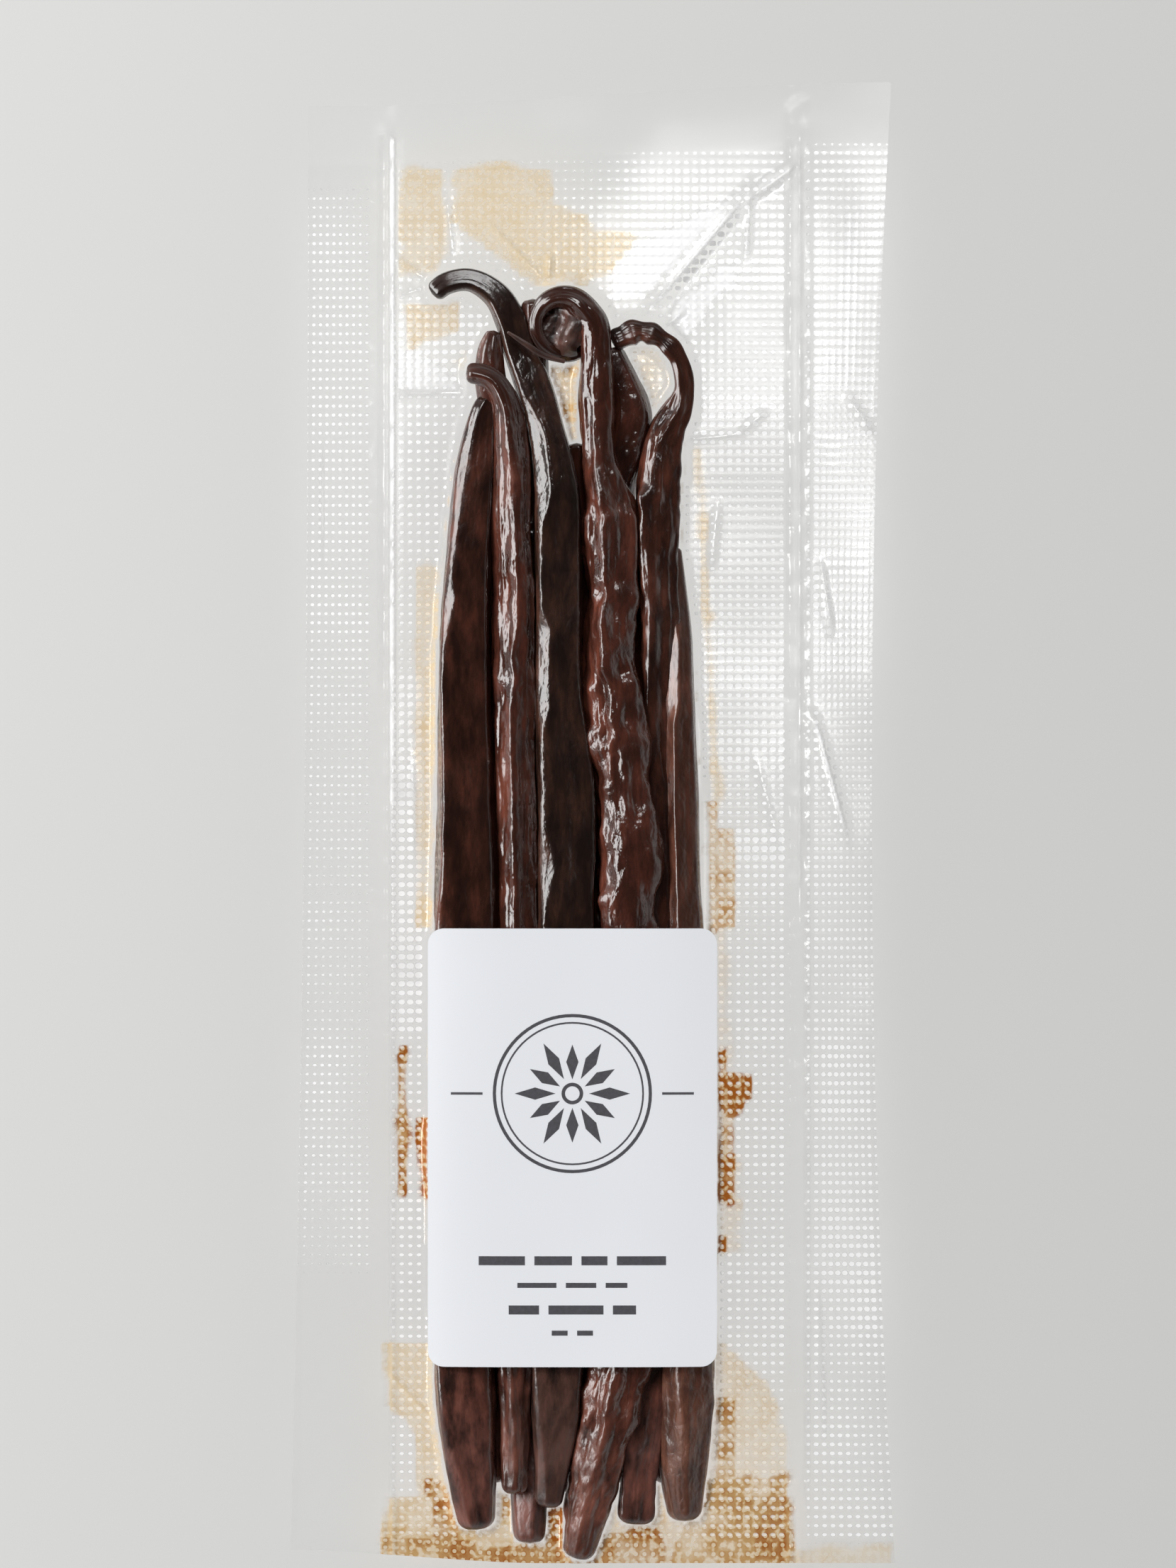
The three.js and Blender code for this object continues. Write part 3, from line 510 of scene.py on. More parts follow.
OIL_WANDER = (0.55, 0.3)  # how far each of the two moves the edge
OIL_EDGE = (-0.6, 0.5)  # distances inside a stain at which there is no oil, and all of it
OIL_FLECKS = (0.15, 0.25)  # how much each of the two varies its strength
TONE_FLECKS = 0.5  # how much the fine waves vary its tone
FRINGE = (0.6, 0.3)  # strength and tone of the oil where the film comes down beside the pods
FRINGE_UP_TO = 54  # y above which there is none
FRINGE_BESIDE = (0.25, 0.6)  # how far down beside a pod it is faint, and full
FRINGE_GAPS = (-0.5, 0.5)  # values of the waves between which it sets in

# The white spot of a dimple: partly frosting of the embossing, partly a painted glint of the lamps.
SPOT_SHIFT = (0.12, -0.14)  # how far it is moved across and along, as a share of a dimple
SPOT_POWERS = (0.6, 1.5)  # these make it wide and thin
SPOT_EDGE = (-0.85, 0.92)  # where its edge is, as [slope, start] of a line through its frost and glint
SPOT_FADE = 0.25  # the width of its edge
SPOT_FROST_AND_GLINT = (-2.0, 3.0)  # how white it is for its frost and glint, as another line
# The rim and the web between the dimples, on a wave that is 1 in the middle of each dimple.
WEB = (0.25, 0.55)  # all web below the first, none above the second
RIM = (4.5, -1.8)  # a line through the wave that is 0 on the rim and 1 or -1 beside it
FILM_GAPS = (1.3, (0.36, 0.52))  # how closely rim and web have gaps, and the values of their noise there
# The oil, as lines through the rim and the web: how thick it is, and how much it hides.
OIL_DEPTH = {"rim": 0.8, "web": (0.75, 0.3)}
OIL_COVER = {"depth": 0.9, "web": (0.2, 0.42)}
OIL_STAIN = 2.5  # how soon the oil colours the film
SPOT_OVER_OIL = 0.6  # how much of a white spot shows through the oil
OIL_DULLS = 0.9  # how much of the film's mirroring the oil takes away
MIRROR = {"front": 0.5, "back": 0.4}  # the share of a mirror in the clear film
# Colours of the film: clear, on a white spot of frosting and painted glint, and at the back.
CLEAR_GREY = (0.82, 0.82, 0.82, 1)
FROST_AND_GLINT_WHITE = (0.96, 0.96, 0.96, 1)
BACK_WHITE = (0.95, 0.95, 0.95, 1)

# ---- the label and its print, in millimetres ----

LABEL_CORNER = 2.2
LABEL_DROOP = 1.4  # how far the long edges of the label bend down
LABEL_BEND = 4  # power of the distance by which it bends, high where its middle is flat
BEND_END = 1.05  # distance, over half the label's width, from which it bends no further
LABEL_THICKNESS = 0.25
LABEL_CUTS = (32, 30)  # strips across the label and along it
LABEL_RIM = (20.2, 30.5)  # the film keeps under the label within these distances of its middle
UNDER_LABEL = 0.04  # and this far below its underside
PRINT_LIFT = 0.03

ROSETTE_MIDDLE = (0, 7.5)
ROSETTE_RINGS = [[11, 10.55], [9.9, 9.65], [1.5, 1.0]]  # outer and inner radius
PETALS = 12
PETAL_REACHES = (6.6, 5.6)  # of even and of odd petals
PETAL_MIDDLE = 0.78  # distance of a petal's middle from the rosette's, over its reach
PETAL_LENGTH = 0.86  # its length over its reach
PETAL_WIDTH = 1.7
SIDE_DASHES = (14.6, 4.4, 0.35)  # distance from the middle, length and height
# Rows of plain dashes: [height above the label's middle, height of the dash, lengths of the dashes].
DASH_ROWS = [
    [-15.6, 1.25, [6.4, 5.2, 3.6, 6.8]],
    [-19.0, 0.7, [5.4, 4.2, 3.0]],
    [-22.4, 1.25, [4.2, 7.6, 3.2]],
    [-25.6, 0.7, [2.2, 2.2]],
]
DASH_GAP = 1.3

# ---- the studio, in metres ----

# Each lamp: its place, where it aims, its size, the setting that it takes its radiance from and how much of
# it, the pieces that it lights, and whether they cast shadows in it.
WINDOW = ((-1.08, 0.32, 0.95), (0, 0, 0), (1.3, 0.62))
SKYLIGHT = ((0.02, 0.76, 1.15), (0, 0, 0), (0.5, 0.22))
PANEL = ((0.075, 0.125, 1.2), (0.075, 0.125, 0), (0.15, 0.11))
FILL = ((0.8, -0.45, 0.85), (0, 0, 0), (0.6, 0.6))
LAMPS = {
    "Window": (*WINDOW, "window", 1, "skins", True),
    "Window_soft": (*WINDOW, "window", 1.5, "film and floor", False),
    "Window_paper": (*WINDOW, "window", 1.05, "paper", False),
    "Skylight": (*SKYLIGHT, "window", 1, "skins", True),
    "Panel": (*PANEL, "panel", 1, "film", True),
    "Fill": (*FILL, "fill", 1, "paper", False),
}
# The light from all round: [how far up, brightness].
SKY = ((0.0, 0.9), (0.3, 0.6), (0.5, 0.25), (0.7, 0.04), (0.85, 0.02), (1.0, 0.015))
SKY_WARMTH = 0.985  # its blue over its red
FLOOR_HALF = 1.6  # half the side of the square floor
SENSOR = 36  # height of the camera's sensor in mm


# ---- settings that a user would change ----


class PodSettings(bpy.types.PropertyGroup):
    rings: IntProperty(name="Rings", description="Rings along a front pod", default=480, min=60)
    sides: IntProperty(name="Sides", description="Faces round a front pod", default=88, min=12)
    rear_rings: IntProperty(
        name="Rear rings", description="Rings along a pod at the back", default=260, min=40
    )
    rear_sides: IntProperty(
        name="Rear sides", description="Faces round a pod at the back", default=40, min=12
    )
    wrinkles: FloatProperty(
        name="Wrinkles", description="Height of all folds, as a share", default=1.0, min=0
    )


class FilmSettings(bpy.types.PropertyGroup):
    dimple_depth: FloatProperty(
        name="Dimple depth", description="Depth of the embossing",
        default=0.04 * MM, unit="LENGTH", precision=5
    )
    clear: FloatProperty(name="Clear film", description="How solid the clear film looks", default=0.06, max=1)
    gloss: FloatProperty(name="Gloss", description="Roughness of the film", default=0.12, max=1)
    tan: FloatVectorProperty(
        name="Oil", description="Colour of thin oil", default=(0.72, 0.53, 0.25), subtype="COLOR"
    )
    brown: FloatVectorProperty(
        name="Thick oil", description="Colour of thick oil", default=(0.33, 0.1, 0.014), subtype="COLOR"
    )


class LabelSettings(bpy.types.PropertyGroup):
    paper: FloatVectorProperty(
        name="Paper", description="Colour of the label", default=(0.74, 0.755, 0.79), subtype="COLOR"
    )
    ink: FloatVectorProperty(
        name="Ink", description="Colour of the print", default=(0.06, 0.058, 0.066), subtype="COLOR"
    )


class StudioSettings(bpy.types.PropertyGroup):
    lens: FloatProperty(name="Lens", description="Focal length in mm", default=200, min=20)
    view_height: FloatProperty(
        name="View height", description="Height of the framed field", default=217.9 * MM, unit="LENGTH"
    )
    view_x: FloatProperty(name="Aim X", description="Middle of the field", default=-0.64 * MM, unit="LENGTH")
    view_y: FloatProperty(name="Aim Y", description="Middle of the field", default=5.37 * MM, unit="LENGTH")
    window: FloatProperty(name="Window", description="Radiance of the window at the left", default=8.0)
    panel: FloatProperty(name="Panel", description="Radiance of the small panel overhead", default=8.5)
    fill: FloatProperty(name="Fill", description="Radiance of the lamp that evens out the label", default=6.7)
    floor: FloatVectorProperty(
        name="Floor", description="Colour of the floor", default=(0.675, 0.675, 0.665), subtype="COLOR"
    )


# ---- arithmetic shared by the pieces ----


def smoothstep(value, low, high):
    share = np.clip((value - low) / (high - low), 0, 1)
    return share * share * (3 - 2 * share)


def lattice_noise(rng, down, across, step_down, step_across, wraps=None):
    """Smooth random values from -1 to 1 on two coordinates; they repeat across after wraps steps."""
    rows = down / step_down
    columns = across / step_across
    row = np.floor(rows).astype(int)
    column = np.floor(columns).astype(int)
    ease_row = smoothstep(rows - row, 0, 1)
    ease_column = smoothstep(columns - column, 0, 1)
    row = row - row.min()
    count = wraps or column.max() - column.min() + 2
    table = rng.uniform(-1, 1, (row.max() + 2, count))
    column = (column - column.min()) if wraps is None else column
    here, beyond = column % count, (column + 1) % count
    near = table[row, here] * (1 - ease_column) + table[row, beyond] * ease_column
    far = table[row + 1, here] * (1 - ease_column) + table[row + 1, beyond] * ease_column
    return near * (1 - ease_row) + far * ease_row


def curve_through(route):
    """A centripetal Catmull-Rom curve through [x, y, width] points: its points, and the length up to each."""
    points = np.array(route, float)
    points = np.vstack([2 * points[0] - points[1], points, 2 * points[-1] - points[-2]])
    share = np.linspace(0, 1, ROUTE_STEPS, endpoint=False)[:, None]
    stretches = []
    for a, b, c, d in zip(points, points[1:], points[2:], points[3:]):
        spans = (max(np.linalg.norm(q[:2] - p[:2]), 1e-6) for p, q in ((a, b), (b, c), (c, d)))
        before, along, after = (span**0.5 for span in spans)
        leave = ((b - a) / before - (c - a) / (before + along) + (c - b) / along) * along
        arrive = ((c - b) / along - (d - b) / (along + after) + (d - c) / after) * along
        square, cube = share**2, share**3
        stretches.append(
            (2 * cube - 3 * square + 1) * b
            + (cube - 2 * square + share) * leave
            + (3 * square - 2 * cube) * c
            + (cube - square) * arrive
        )
    places = np.vstack([*stretches, points[-2:-1]])
    lengths = np.concatenate([[0], np.cumsum(np.linalg.norm(np.diff(places[:, :2], axis=0), axis=1))])
    return places, lengths


def mesh_arrays(bm, name):
    """The bmesh as a new mesh, with its points as an array."""
    mesh = bpy.data.meshes.new(name)
    bm.to_mesh(mesh)
    bm.free()
    points = np.zeros(len(mesh.vertices) * 3)
    mesh.vertices.foreach_get("co", points)
    return mesh, points.reshape(-1, 3)


def place_points(mesh, points):
    """Moves the points of the mesh to places in millimetres."""
    mesh.vertices.foreach_set("co", (points * MM).astype(np.float32).ravel())
    mesh.update()


def store(mesh, name, values, kind="FLOAT"):
    """Keeps a value or a vector for every point of the mesh, for its material to read."""
    layer = mesh.attributes.new(name, kind, "POINT")
    layer.data.foreach_set("value" if kind == "FLOAT" else "vector", values.astype(np.float32).ravel())


def finished(name, mesh, material, slot, *nodes):
    """Makes a mesh a piece: smooth, painted, riding on the pack and standing for the solids it replaces."""
    mesh.shade_smooth()
    mesh.materials.append(material)
    piece = bpy.data.objects.new(name, mesh)
    bpy.context.scene.collection.objects.link(piece)
    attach(piece, BODY)
    if nodes:
        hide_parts(*nodes)
    return piece


def label_underside(across):
    """Height of the label's underside at a distance from its middle line: its long edges bend down."""
    crest = LABEL_HIGH[2] - LABEL_THICKNESS
    return crest - LABEL_DROOP * np.clip(np.abs(across) / LABEL_HALF[0], 0, BEND_END) ** LABEL_BEND


# ---- material nodes ----


def new_material(name):
    material = bpy.data.materials.new(name)
    material.use_nodes = True
    return material, material.node_tree, material.node_tree.nodes["Principled BSDF"]


def set_inputs(tree, node, inputs):
    """Each input of the node is set to a value or linked to a socket."""
    for key, value in inputs.items():
        if isinstance(value, bpy.types.NodeSocket):
            tree.links.new(value, node.inputs[key])
        else:
            node.inputs[key].default_value = value


def add_node(tree, kind, inputs=None, **settings):
    node = tree.nodes.new(kind)
    for key, value in settings.items():
        setattr(node, key, value)
    set_inputs(tree, node, inputs or {})
    return node


def maths(tree, operation, first, second=None, third=None, clamp=False):
    values = {i: v for i, v in enumerate((first, second, third)) if v is not None}
    return add_node(tree, "ShaderNodeMath", values, operation=operation, use_clamp=clamp).outputs[0]


def scaled(tree, share, value, slope, start, clamp=False):
    """The share times a line through the value: start + slope * value."""
    return maths(tree, "MULTIPLY", share, maths(tree, "MULTIPLY_ADD", value, slope, start), clamp=clamp)


def ranged(tree, value, low, high, ends=(0, 1)):
    """From the first end to the second as the value goes from low to high."""
    inputs = {"Value": value, "From Min": low, "From Max": high, "To Min": ends[0], "To Max": ends[1]}
    return add_node(tree, "ShaderNodeMapRange", inputs).outputs[0]


def noise(tree, place, scale, detail, roughness=0.5):
    inputs = {"Vector": place, "Scale": scale, "Detail": detail, "Roughness": roughness}
    return add_node(tree, "ShaderNodeTexNoise", inputs).outputs["Fac"]


def object_place(tree):
    return add_node(tree, "ShaderNodeTexCoord").outputs["Object"]


def bump(tree, height, distance, strength):
    return add_node(
        tree, "ShaderNodeBump", {"Height": height, "Distance": distance, "Strength": strength}
    ).outputs[0]


def blend_colours(tree, share, first, second, mode="MIX"):
    inputs = {0: share, 6: first, 7: second}
    return add_node(tree, "ShaderNodeMix", inputs, data_type="RGBA", blend_type=mode).outputs[2]


def clouded(tree, colour, cloud, depth, start):
    """A colour times start + depth * cloud."""
    shade = maths(tree, "MULTIPLY_ADD", cloud, depth, start)
    return blend_colours(tree, 1.0, (*colour, 1), shade, mode="MULTIPLY")


def kept(tree, name, output="Fac"):
    """What store kept for the material to read: a value, or with output "Vector" a vector."""
    return add_node(tree, "ShaderNodeAttribute", attribute_name=name).outputs[output]


def group_tree(name, inputs, outputs):
    """A node group with named sockets of given types: the group, what it is given, and what it gives."""
    group = bpy.data.node_groups.new(name, "ShaderNodeTree")
    for side, sockets in (("INPUT", inputs), ("OUTPUT", outputs)):
        for label, kind in sockets.items():
            group.interface.new_socket(label, in_out=side, socket_type=kind)
    return group, group.nodes.new("NodeGroupInput").outputs, group.nodes.new("NodeGroupOutput")


def use_group(tree, group, inputs):
    return add_node(tree, "ShaderNodeGroup", inputs, node_tree=group).outputs


# ---- the pods ----


def streaks_group():
    """Streaks, blotches, mottling and fine wrinkles that run along a pod."""
    name = "Pod streaks"
    if name in bpy.data.node_groups:
        return bpy.data.node_groups[name]
    labels = ("Streak", "Blotch", "Wrinkle", "Mottle")
    outputs = dict.fromkeys(labels, "NodeSocketFloat")
    group, given, result = group_tree(name, {"Along pod": "NodeSocketVector"}, outputs)

    def stretched(squeeze):
        inputs = {"Vector": given["Along pod"], "Scale": (1, 1, squeeze)}
        return add_node(group, "ShaderNodeMapping", inputs).outputs[0]

    patterns = {
        key: noise(group, stretched(squeeze), scale, detail, roughness)
        for key, (scale, squeeze, detail, roughness) in SKIN_PATTERNS.items()
    }
    inputs = {"Vector": stretched(CRACKS["stretch"]), "Scale": CRACKS["scale"], "Randomness": 1.0}
    cracks = add_node(group, "ShaderNodeTexVoronoi", inputs, feature="DISTANCE_TO_EDGE").outputs["Distance"]
    cracks = ranged(group, cracks, 0, CRACKS["reach"])
    crumple = maths(group, "MULTIPLY_ADD", cracks, CRACKS["depth"], patterns["crepe"])
    set_inputs(group, result, {
        "Streak": patterns["streak"],
        "Blotch": patterns["blotch"],
        "Wrinkle": maths(group, "MULTIPLY_ADD", patterns["fine"], FINE_DEPTH, crumple),
        "Mottle": ranged(group, patterns["mottle"], *PATTERN_RANGES["mottle"]),
    })
    return group


def skin_material(kind):
    """Oily skin of a cured pod: dark, with redder streaks and painted window light on its left side, and
    glossier in some blotches than in others.
    """
    name = f"Pod skin, {kind}"
    if name in bpy.data.materials:
        return bpy.data.materials[name]
    skin = SKINS[kind]
    dark, light, foot = ((*skin[key], 1) for key in ("dark", "light", "foot"))
    material, tree, shader = new_material(name)
    streaks = use_group(tree, streaks_group(), {"Along pod": kept(tree, "along_pod", "Vector")})
    streak = ranged(tree, streaks["Streak"], *PATTERN_RANGES["streak"])
    blotch = ranged(tree, streaks["Blotch"], *PATTERN_RANGES["blotch"])
    matt = kept(tree, "matt")
    # the painted window light on the left side of a pod, joined with its matt foot
    lit = maths(tree, "ADD", kept(tree, "painted_window_light"), matt, clamp=True)

    # how light the skin is: streaks broken up by blotches and mottling, painted light on its left side as if
    # lit by the window, light at its matt foot, dark at its tip
    share = maths(tree, "MULTIPLY_ADD", streak, *SKIN_LIGHT["streak"])
    share = scaled(tree, share, blotch, *SKIN_LIGHT["blotch"])
    share = scaled(tree, share, streaks["Mottle"], *SKIN_LIGHT["mottle"])
    share = scaled(tree, share, lit, *SKIN_LIGHT["side"], clamp=True)
    share = scaled(tree, share, kept(tree, "shade"), *SKIN_LIGHT["tip"])
    # how much of the foot has turned matt and pale
    worn = scaled(tree, streaks["Mottle"], blotch, *FOOT_LIGHT["blotch"])
    worn = maths(tree, "MULTIPLY", worn, FOOT_LIGHT["mottle"])
    worn = maths(tree, "MULTIPLY_ADD", streak, FOOT_LIGHT["streak"], worn, clamp=True)
    gloss = maths(tree, "MULTIPLY_ADD", blotch, GLOSS["blotch"], skin["roughness"] + GLOSS["best"])
    height = maths(tree, "MULTIPLY", streaks["Wrinkle"], kept(tree, "crumple"))
    set_inputs(tree, shader, {
        "Base Color": blend_colours(
            tree, matt, blend_colours(tree, share, dark, light), blend_colours(tree, worn, dark, foot)
        ),
        "Roughness": maths(tree, "MULTIPLY_ADD", matt, GLOSS["foot"], gloss),
        "Normal": bump(tree, height, SKIN_BUMP, 1.0),
        "IOR": SKIN_IOR,
    })
    return material


def along_route(value, y):
    """A value of a face at each ring: one number, or a list of [y, number]."""
    return np.interp(y, *np.transpose(value)) if isinstance(value, list) else np.full(len(y), float(value))


def ridge_reach(pod, y, half):
    """How far out the flat ridge lies so that it has its width, where it cuts off the corner of two faces."""
    heading, widths = pod["ridge"]
    faces = [[along_route(value, y) for value in face] for face in pod["faces"]]
    before = max((face for face in faces if face[0].mean() < heading), key=lambda face: face[0].mean())
    after = min((face for face in faces if face[0].mean() > heading), key=lambda face: face[0].mean())
    lead = np.radians(np.clip(heading - before[0], RIDGE_ROOM, None))
    lag = np.radians(np.clip(after[0] - heading, RIDGE_ROOM, None))
    corner = (before[1] * np.sin(lag) + after[1] * np.sin(lead)) / np.sin(lead + lag)
    return corner - along_route(widths, y) / (half * (1 / np.tan(lead) + 1 / np.tan(lag)))


def section(pod, along, turn, y, half, rng):
    """The outline of a pod's section, as x and z from -1 to 1: a rounded polygon whose faces wander."""
    faces = [[along_route(value, y) for value in face] for face in pod["faces"]]
    if "ridge" in pod:
        faces.append([np.full(len(y), float(pod["ridge"][0])), ridge_reach(pod, y, half)])
    total = 0
    for heading, reach in faces:
        drift = math.radians(FACE_DRIFT[0]) * lattice_noise(rng, along, 0 * along, FACE_DRIFT[1], 1)
        drift = drift * (abs(heading.mean() - LIT_HEADING) > LIT_SPREAD)
        heading = np.radians(heading[:, None] + pod["twist"] * (along / along.max() - 0.5)) + drift
        reach = reach[:, None] + FACE_SWELL[0] * lattice_noise(rng, along, 0 * along, FACE_SWELL[1], 1)
        total = total + (np.maximum(np.cos(turn - heading), 0) / reach) ** CORNER_SHARPNESS
    radius = total ** (-1 / CORNER_SHARPNESS)
    return evened(radius * np.cos(turn)), evened(radius * np.sin(turn))


def evened(values):
    """Each row moved and scaled to run from -1 to 1."""
    low, high = values.min(1, keepdims=True), values.max(1, keepdims=True)
    return (2 * values - low - high) / (high - low)


def relief(pod, along, turn, rng):
    """Height of the wrinkles and lumps on a pod of full width: folds along it, finer and finer, and dents."""
    round_share = turn / (2 * math.pi)
    height = 0
    for length, around, size in FOLDS:
        waves = lattice_noise(rng, along, round_share, length, 1 / around, wraps=around)
        height = height + pod["wrinkle"] * size * (FOLD_CREST[0] - np.abs(waves) * FOLD_CREST[1])
    for length, around, size in LUMPS:
        waves = lattice_noise(rng, along, round_share, length, 1 / around, wraps=around)
        height = height + pod["lumps"] * size * waves
    return height


def ceiling_over(x, y):
    """How high a pod may reach: the label presses it flat."""
    off_x, off_y = np.abs(x - LABEL_MIDDLE[0]), np.abs(y - LABEL_MIDDLE[1])
    beyond = np.maximum(off_x - LABEL_HALF[0], off_y - LABEL_HALF[1])
    pressed = label_underside(x - LABEL_MIDDLE[0]) - LABEL_PRESS
    return pressed + (POD_TOP - pressed) * smoothstep(beyond, *PRESS_FADE)


def blunt_end(distance, radius):
    """Share of the full width at a distance from the end: a flat end with round edges."""
    share = np.clip(distance / (BLUNTNESS * radius), 0, 1)
    return (1 - (1 - share) ** END_ROUNDNESS) ** (1 / END_ROUNDNESS)


def rings_along(route, rings):
    """The length of a route, and for each ring its distance along it, its x, y and width, and its heading."""
    places, lengths = curve_through(route)
    length = lengths[-1]
    steps = np.linspace(0, 1, rings + 1)
    steps = length * (steps - END_CROWDING * np.sin(2 * math.pi * steps) / (2 * math.pi))
    x, y, width = (np.interp(steps, lengths, places[:, k]) for k in range(3))
    heading = np.gradient(places[:, :2], lengths, axis=0)
    heading = np.stack([np.interp(steps, lengths, heading[:, k]) for k in range(2)], 1)
    return length, steps, x, y, width, heading / np.linalg.norm(heading, axis=1, keepdims=True)


def middle_height(pod, steps, length):
    """Height of a pod's middle at each ring: along its body, down its neck, at its foot and at its end."""
    rise = smoothstep(steps, length - pod["hook"] - NECK_LENGTH, length - pod["hook"] / 2)
    sink = 1 - smoothstep(steps, 0, FOOT_TAPER)
    middle = pod["lie"] + (pod["nose"] - pod["lie"]) * rise
    middle = middle + (pod["toe"] - middle) * sink
    return middle - pod.get("drop", 0) * smoothstep(steps, length - TIP_DROP[0], length - TIP_DROP[1])


def pod_mesh(name, pod, rings, sides, wrinkles):
    """A pod starts as a ball: each of its rings slides along the route, and takes the pod's section there."""
    bm = bmesh.new()
    bmesh.ops.create_uvsphere(bm, u_segments=sides, v_segments=rings, radius=1)
    mesh, ball = mesh_arrays(bm, name)
    ring = np.rint((1 - np.arccos(np.clip(ball[:, 2], -1, 1)) / math.pi) * rings).astype(int)
    column = np.rint((np.arctan2(ball[:, 1], ball[:, 0]) / (2 * math.pi)) * sides).astype(int) % sides
    length, steps, route_x, route_y, width, heading = rings_along(pod["route"], rings)

    turn = np.broadcast_to(2 * math.pi * np.arange(sides) / sides, (rings + 1, sides))
    along = np.broadcast_to(steps[:, None], turn.shape)
    rng = np.random.default_rng(pod["seed"])
    x, z = section(pod, along, turn, route_y, np.maximum(width / 2, LEAST_HALF_WIDTH), rng)
    height = relief(pod, along, turn, rng) * wrinkles
    step_x, step_z = (np.roll(values, -1, 1) - np.roll(values, 1, 1) for values in (x, z))
    # where the side to the left of the route is steep, it is painted lighter and redder, as if lit by the
    # window at the left
    painted_window_light = smoothstep(step_z / np.hypot(step_x, step_z), *PAINTED_LIGHT_STEEPNESS)

    cap = blunt_end(steps, pod["route"][0][2] / 2) * blunt_end(length - steps, pod["route"][-1][2] / 2)
    half = (width / 2 * cap)[:, None]
    matt = 1 - smoothstep(steps, *MATT_FOOT)
    height = height * ((width / FULL_WIDTH) ** THIN_PARTS * cap * (1 + FOOT_WRINKLES * matt))[:, None]
    x = (x * half + height * np.cos(turn))[ring, column]
    z = ((z * half + height * np.sin(turn)) * FLATNESS)[ring, column]

    place_x = route_x[ring] - heading[ring, 1] * x
    place_y = route_y[ring] + heading[ring, 0] * x
    place_z = np.clip(middle_height(pod, steps, length)[ring] + z, TABLE_GAP, None)
    top = ceiling_over(place_x, place_y)
    # what reaches into the last millimetre below the ceiling is squeezed into it
    place_z = np.where(place_z > top - 1, top - np.exp(-np.clip(place_z - top + 1, 0, None)), place_z)
    points = np.stack([place_x, place_y, place_z], 1)
    place_points(mesh, points)

    dark_from = length - pod.get("dark_tip", 0)
    shade = smoothstep(steps, dark_from - DARK_TIP_FADE, dark_from + DARK_TIP_FADE)
    pattern_place = np.stack([x, z, steps[ring] + SEED_SPACING * pod["seed"]], 1) * MM
    store(mesh, "along_pod", pattern_place, "FLOAT_VECTOR")
    store(mesh, "painted_window_light", painted_window_light[ring, column])
    store(mesh, "matt", matt[ring])
    store(mesh, "crumple", pod.get("crumple", 1) * np.interp(width, *CRUMPLE)[ring])
    store(mesh, "shade", shade[ring])
    return mesh, points


def rolled_route():
    """The curl of the rolled tip, as [x, y, width] points."""
    route = []
    for step in range(1, ROLL_POINTS + 1):
        share = step / ROLL_POINTS
        angle = math.radians(ROLL_START + ROLL_SWEEP * share)
        width = ROLL_WIDTHS[0] + (ROLL_WIDTHS[1] - ROLL_WIDTHS[0]) * min(1, ROLL_NARROWING * share)
        radius = ROLL_RADII[0] + (ROLL_RADII[1] - ROLL_RADII[0]) * share**3 + (ROLL_WIDTHS[0] - width) / 2
        x = ROLL_CENTRE[0] + radius * math.cos(angle)
        y = ROLL_CENTRE[1] + ROLL_STRETCH * radius * math.sin(angle)
        route.append([x, y, width])
    return route


class VANILLA_OT_pods(bpy.types.Operator):
    """Make the pods of the bundle, the middle of the rolled tip and the stray stalk"""

    bl_idname = "vanilla.pods"
    bl_label = "Make the pods"

    def execute(self, context):
        settings = context.scene.vanilla_pods
        rolled = FRONT_PODS["pod_rolled"]
        front = {**FRONT_PODS, "pod_rolled": {**rolled, "route": rolled["route"] + rolled_route()}}
        skins = []
        for group, rings, sides in (
            (front, settings.rings, settings.sides),
            (REAR_PODS, settings.rear_rings, settings.rear_sides),
            (SMALL_PIECES, settings.rear_rings // 2, settings.rear_sides // 2),
        ):
            for name, pod in group.items():
                mesh, points = pod_mesh(name, pod, rings, sides, settings.wrinkles)
                finished(name, mesh, skin_material(pod["skin"]), "pods", "pouch")
                skins.append(points)
        shared["skins"] = np.vstack(skins)
        return {"FINISHED"}


# ---- the film ----


def outline(across, along):
    """Takes the film's straight grid to the pouch's outline, waisted at the sides and slanting at the top."""
    length = HIGH[1]
    upward = along / length
    left, right = (at + slope * upward + bend * upward**2 for at, slope, bend in (LEFT_EDGE, RIGHT_EDGE))
    top = TOP_EDGE[0] + TOP_EDGE[1] * smoothstep(across, *TOP_EDGE[2])
    foot = LOW[1] + FOOT_EDGE[0] * (1 - smoothstep(across, *FOOT_EDGE[1]))
    side = np.where(across < 0, -left, right)
    beyond = np.clip((np.abs(across) - STRAIGHT_ACROSS) / (HIGH[0] - STRAIGHT_ACROSS), 0, 1)
    x = np.where(beyond > 0, np.sign(across) * (STRAIGHT_ACROSS + beyond * (side - STRAIGHT_ACROSS)), across)
    over = np.clip((along - STRAIGHT_TOP) / (length - STRAIGHT_TOP), 0, 1)
    under = np.clip((STRAIGHT_BOTTOM - along) / (STRAIGHT_BOTTOM + length), 0, 1)
    y = np.where(over > 0, STRAIGHT_TOP + over * (top - STRAIGHT_TOP), along)
    y = np.where(under > 0, STRAIGHT_BOTTOM + under * (foot - STRAIGHT_BOTTOM), y)
    return x, y


def film_grid(column, row):
    """The straight grid of a sheet, as arrays of x and y, one row of points after another."""
    columns = round((HIGH[0] - LOW[0]) / column)
    rows = round((HIGH[1] - LOW[1]) / row)
    return np.meshgrid(np.linspace(LOW[0], HIGH[0], columns + 1), np.linspace(LOW[1], HIGH[1], rows + 1))


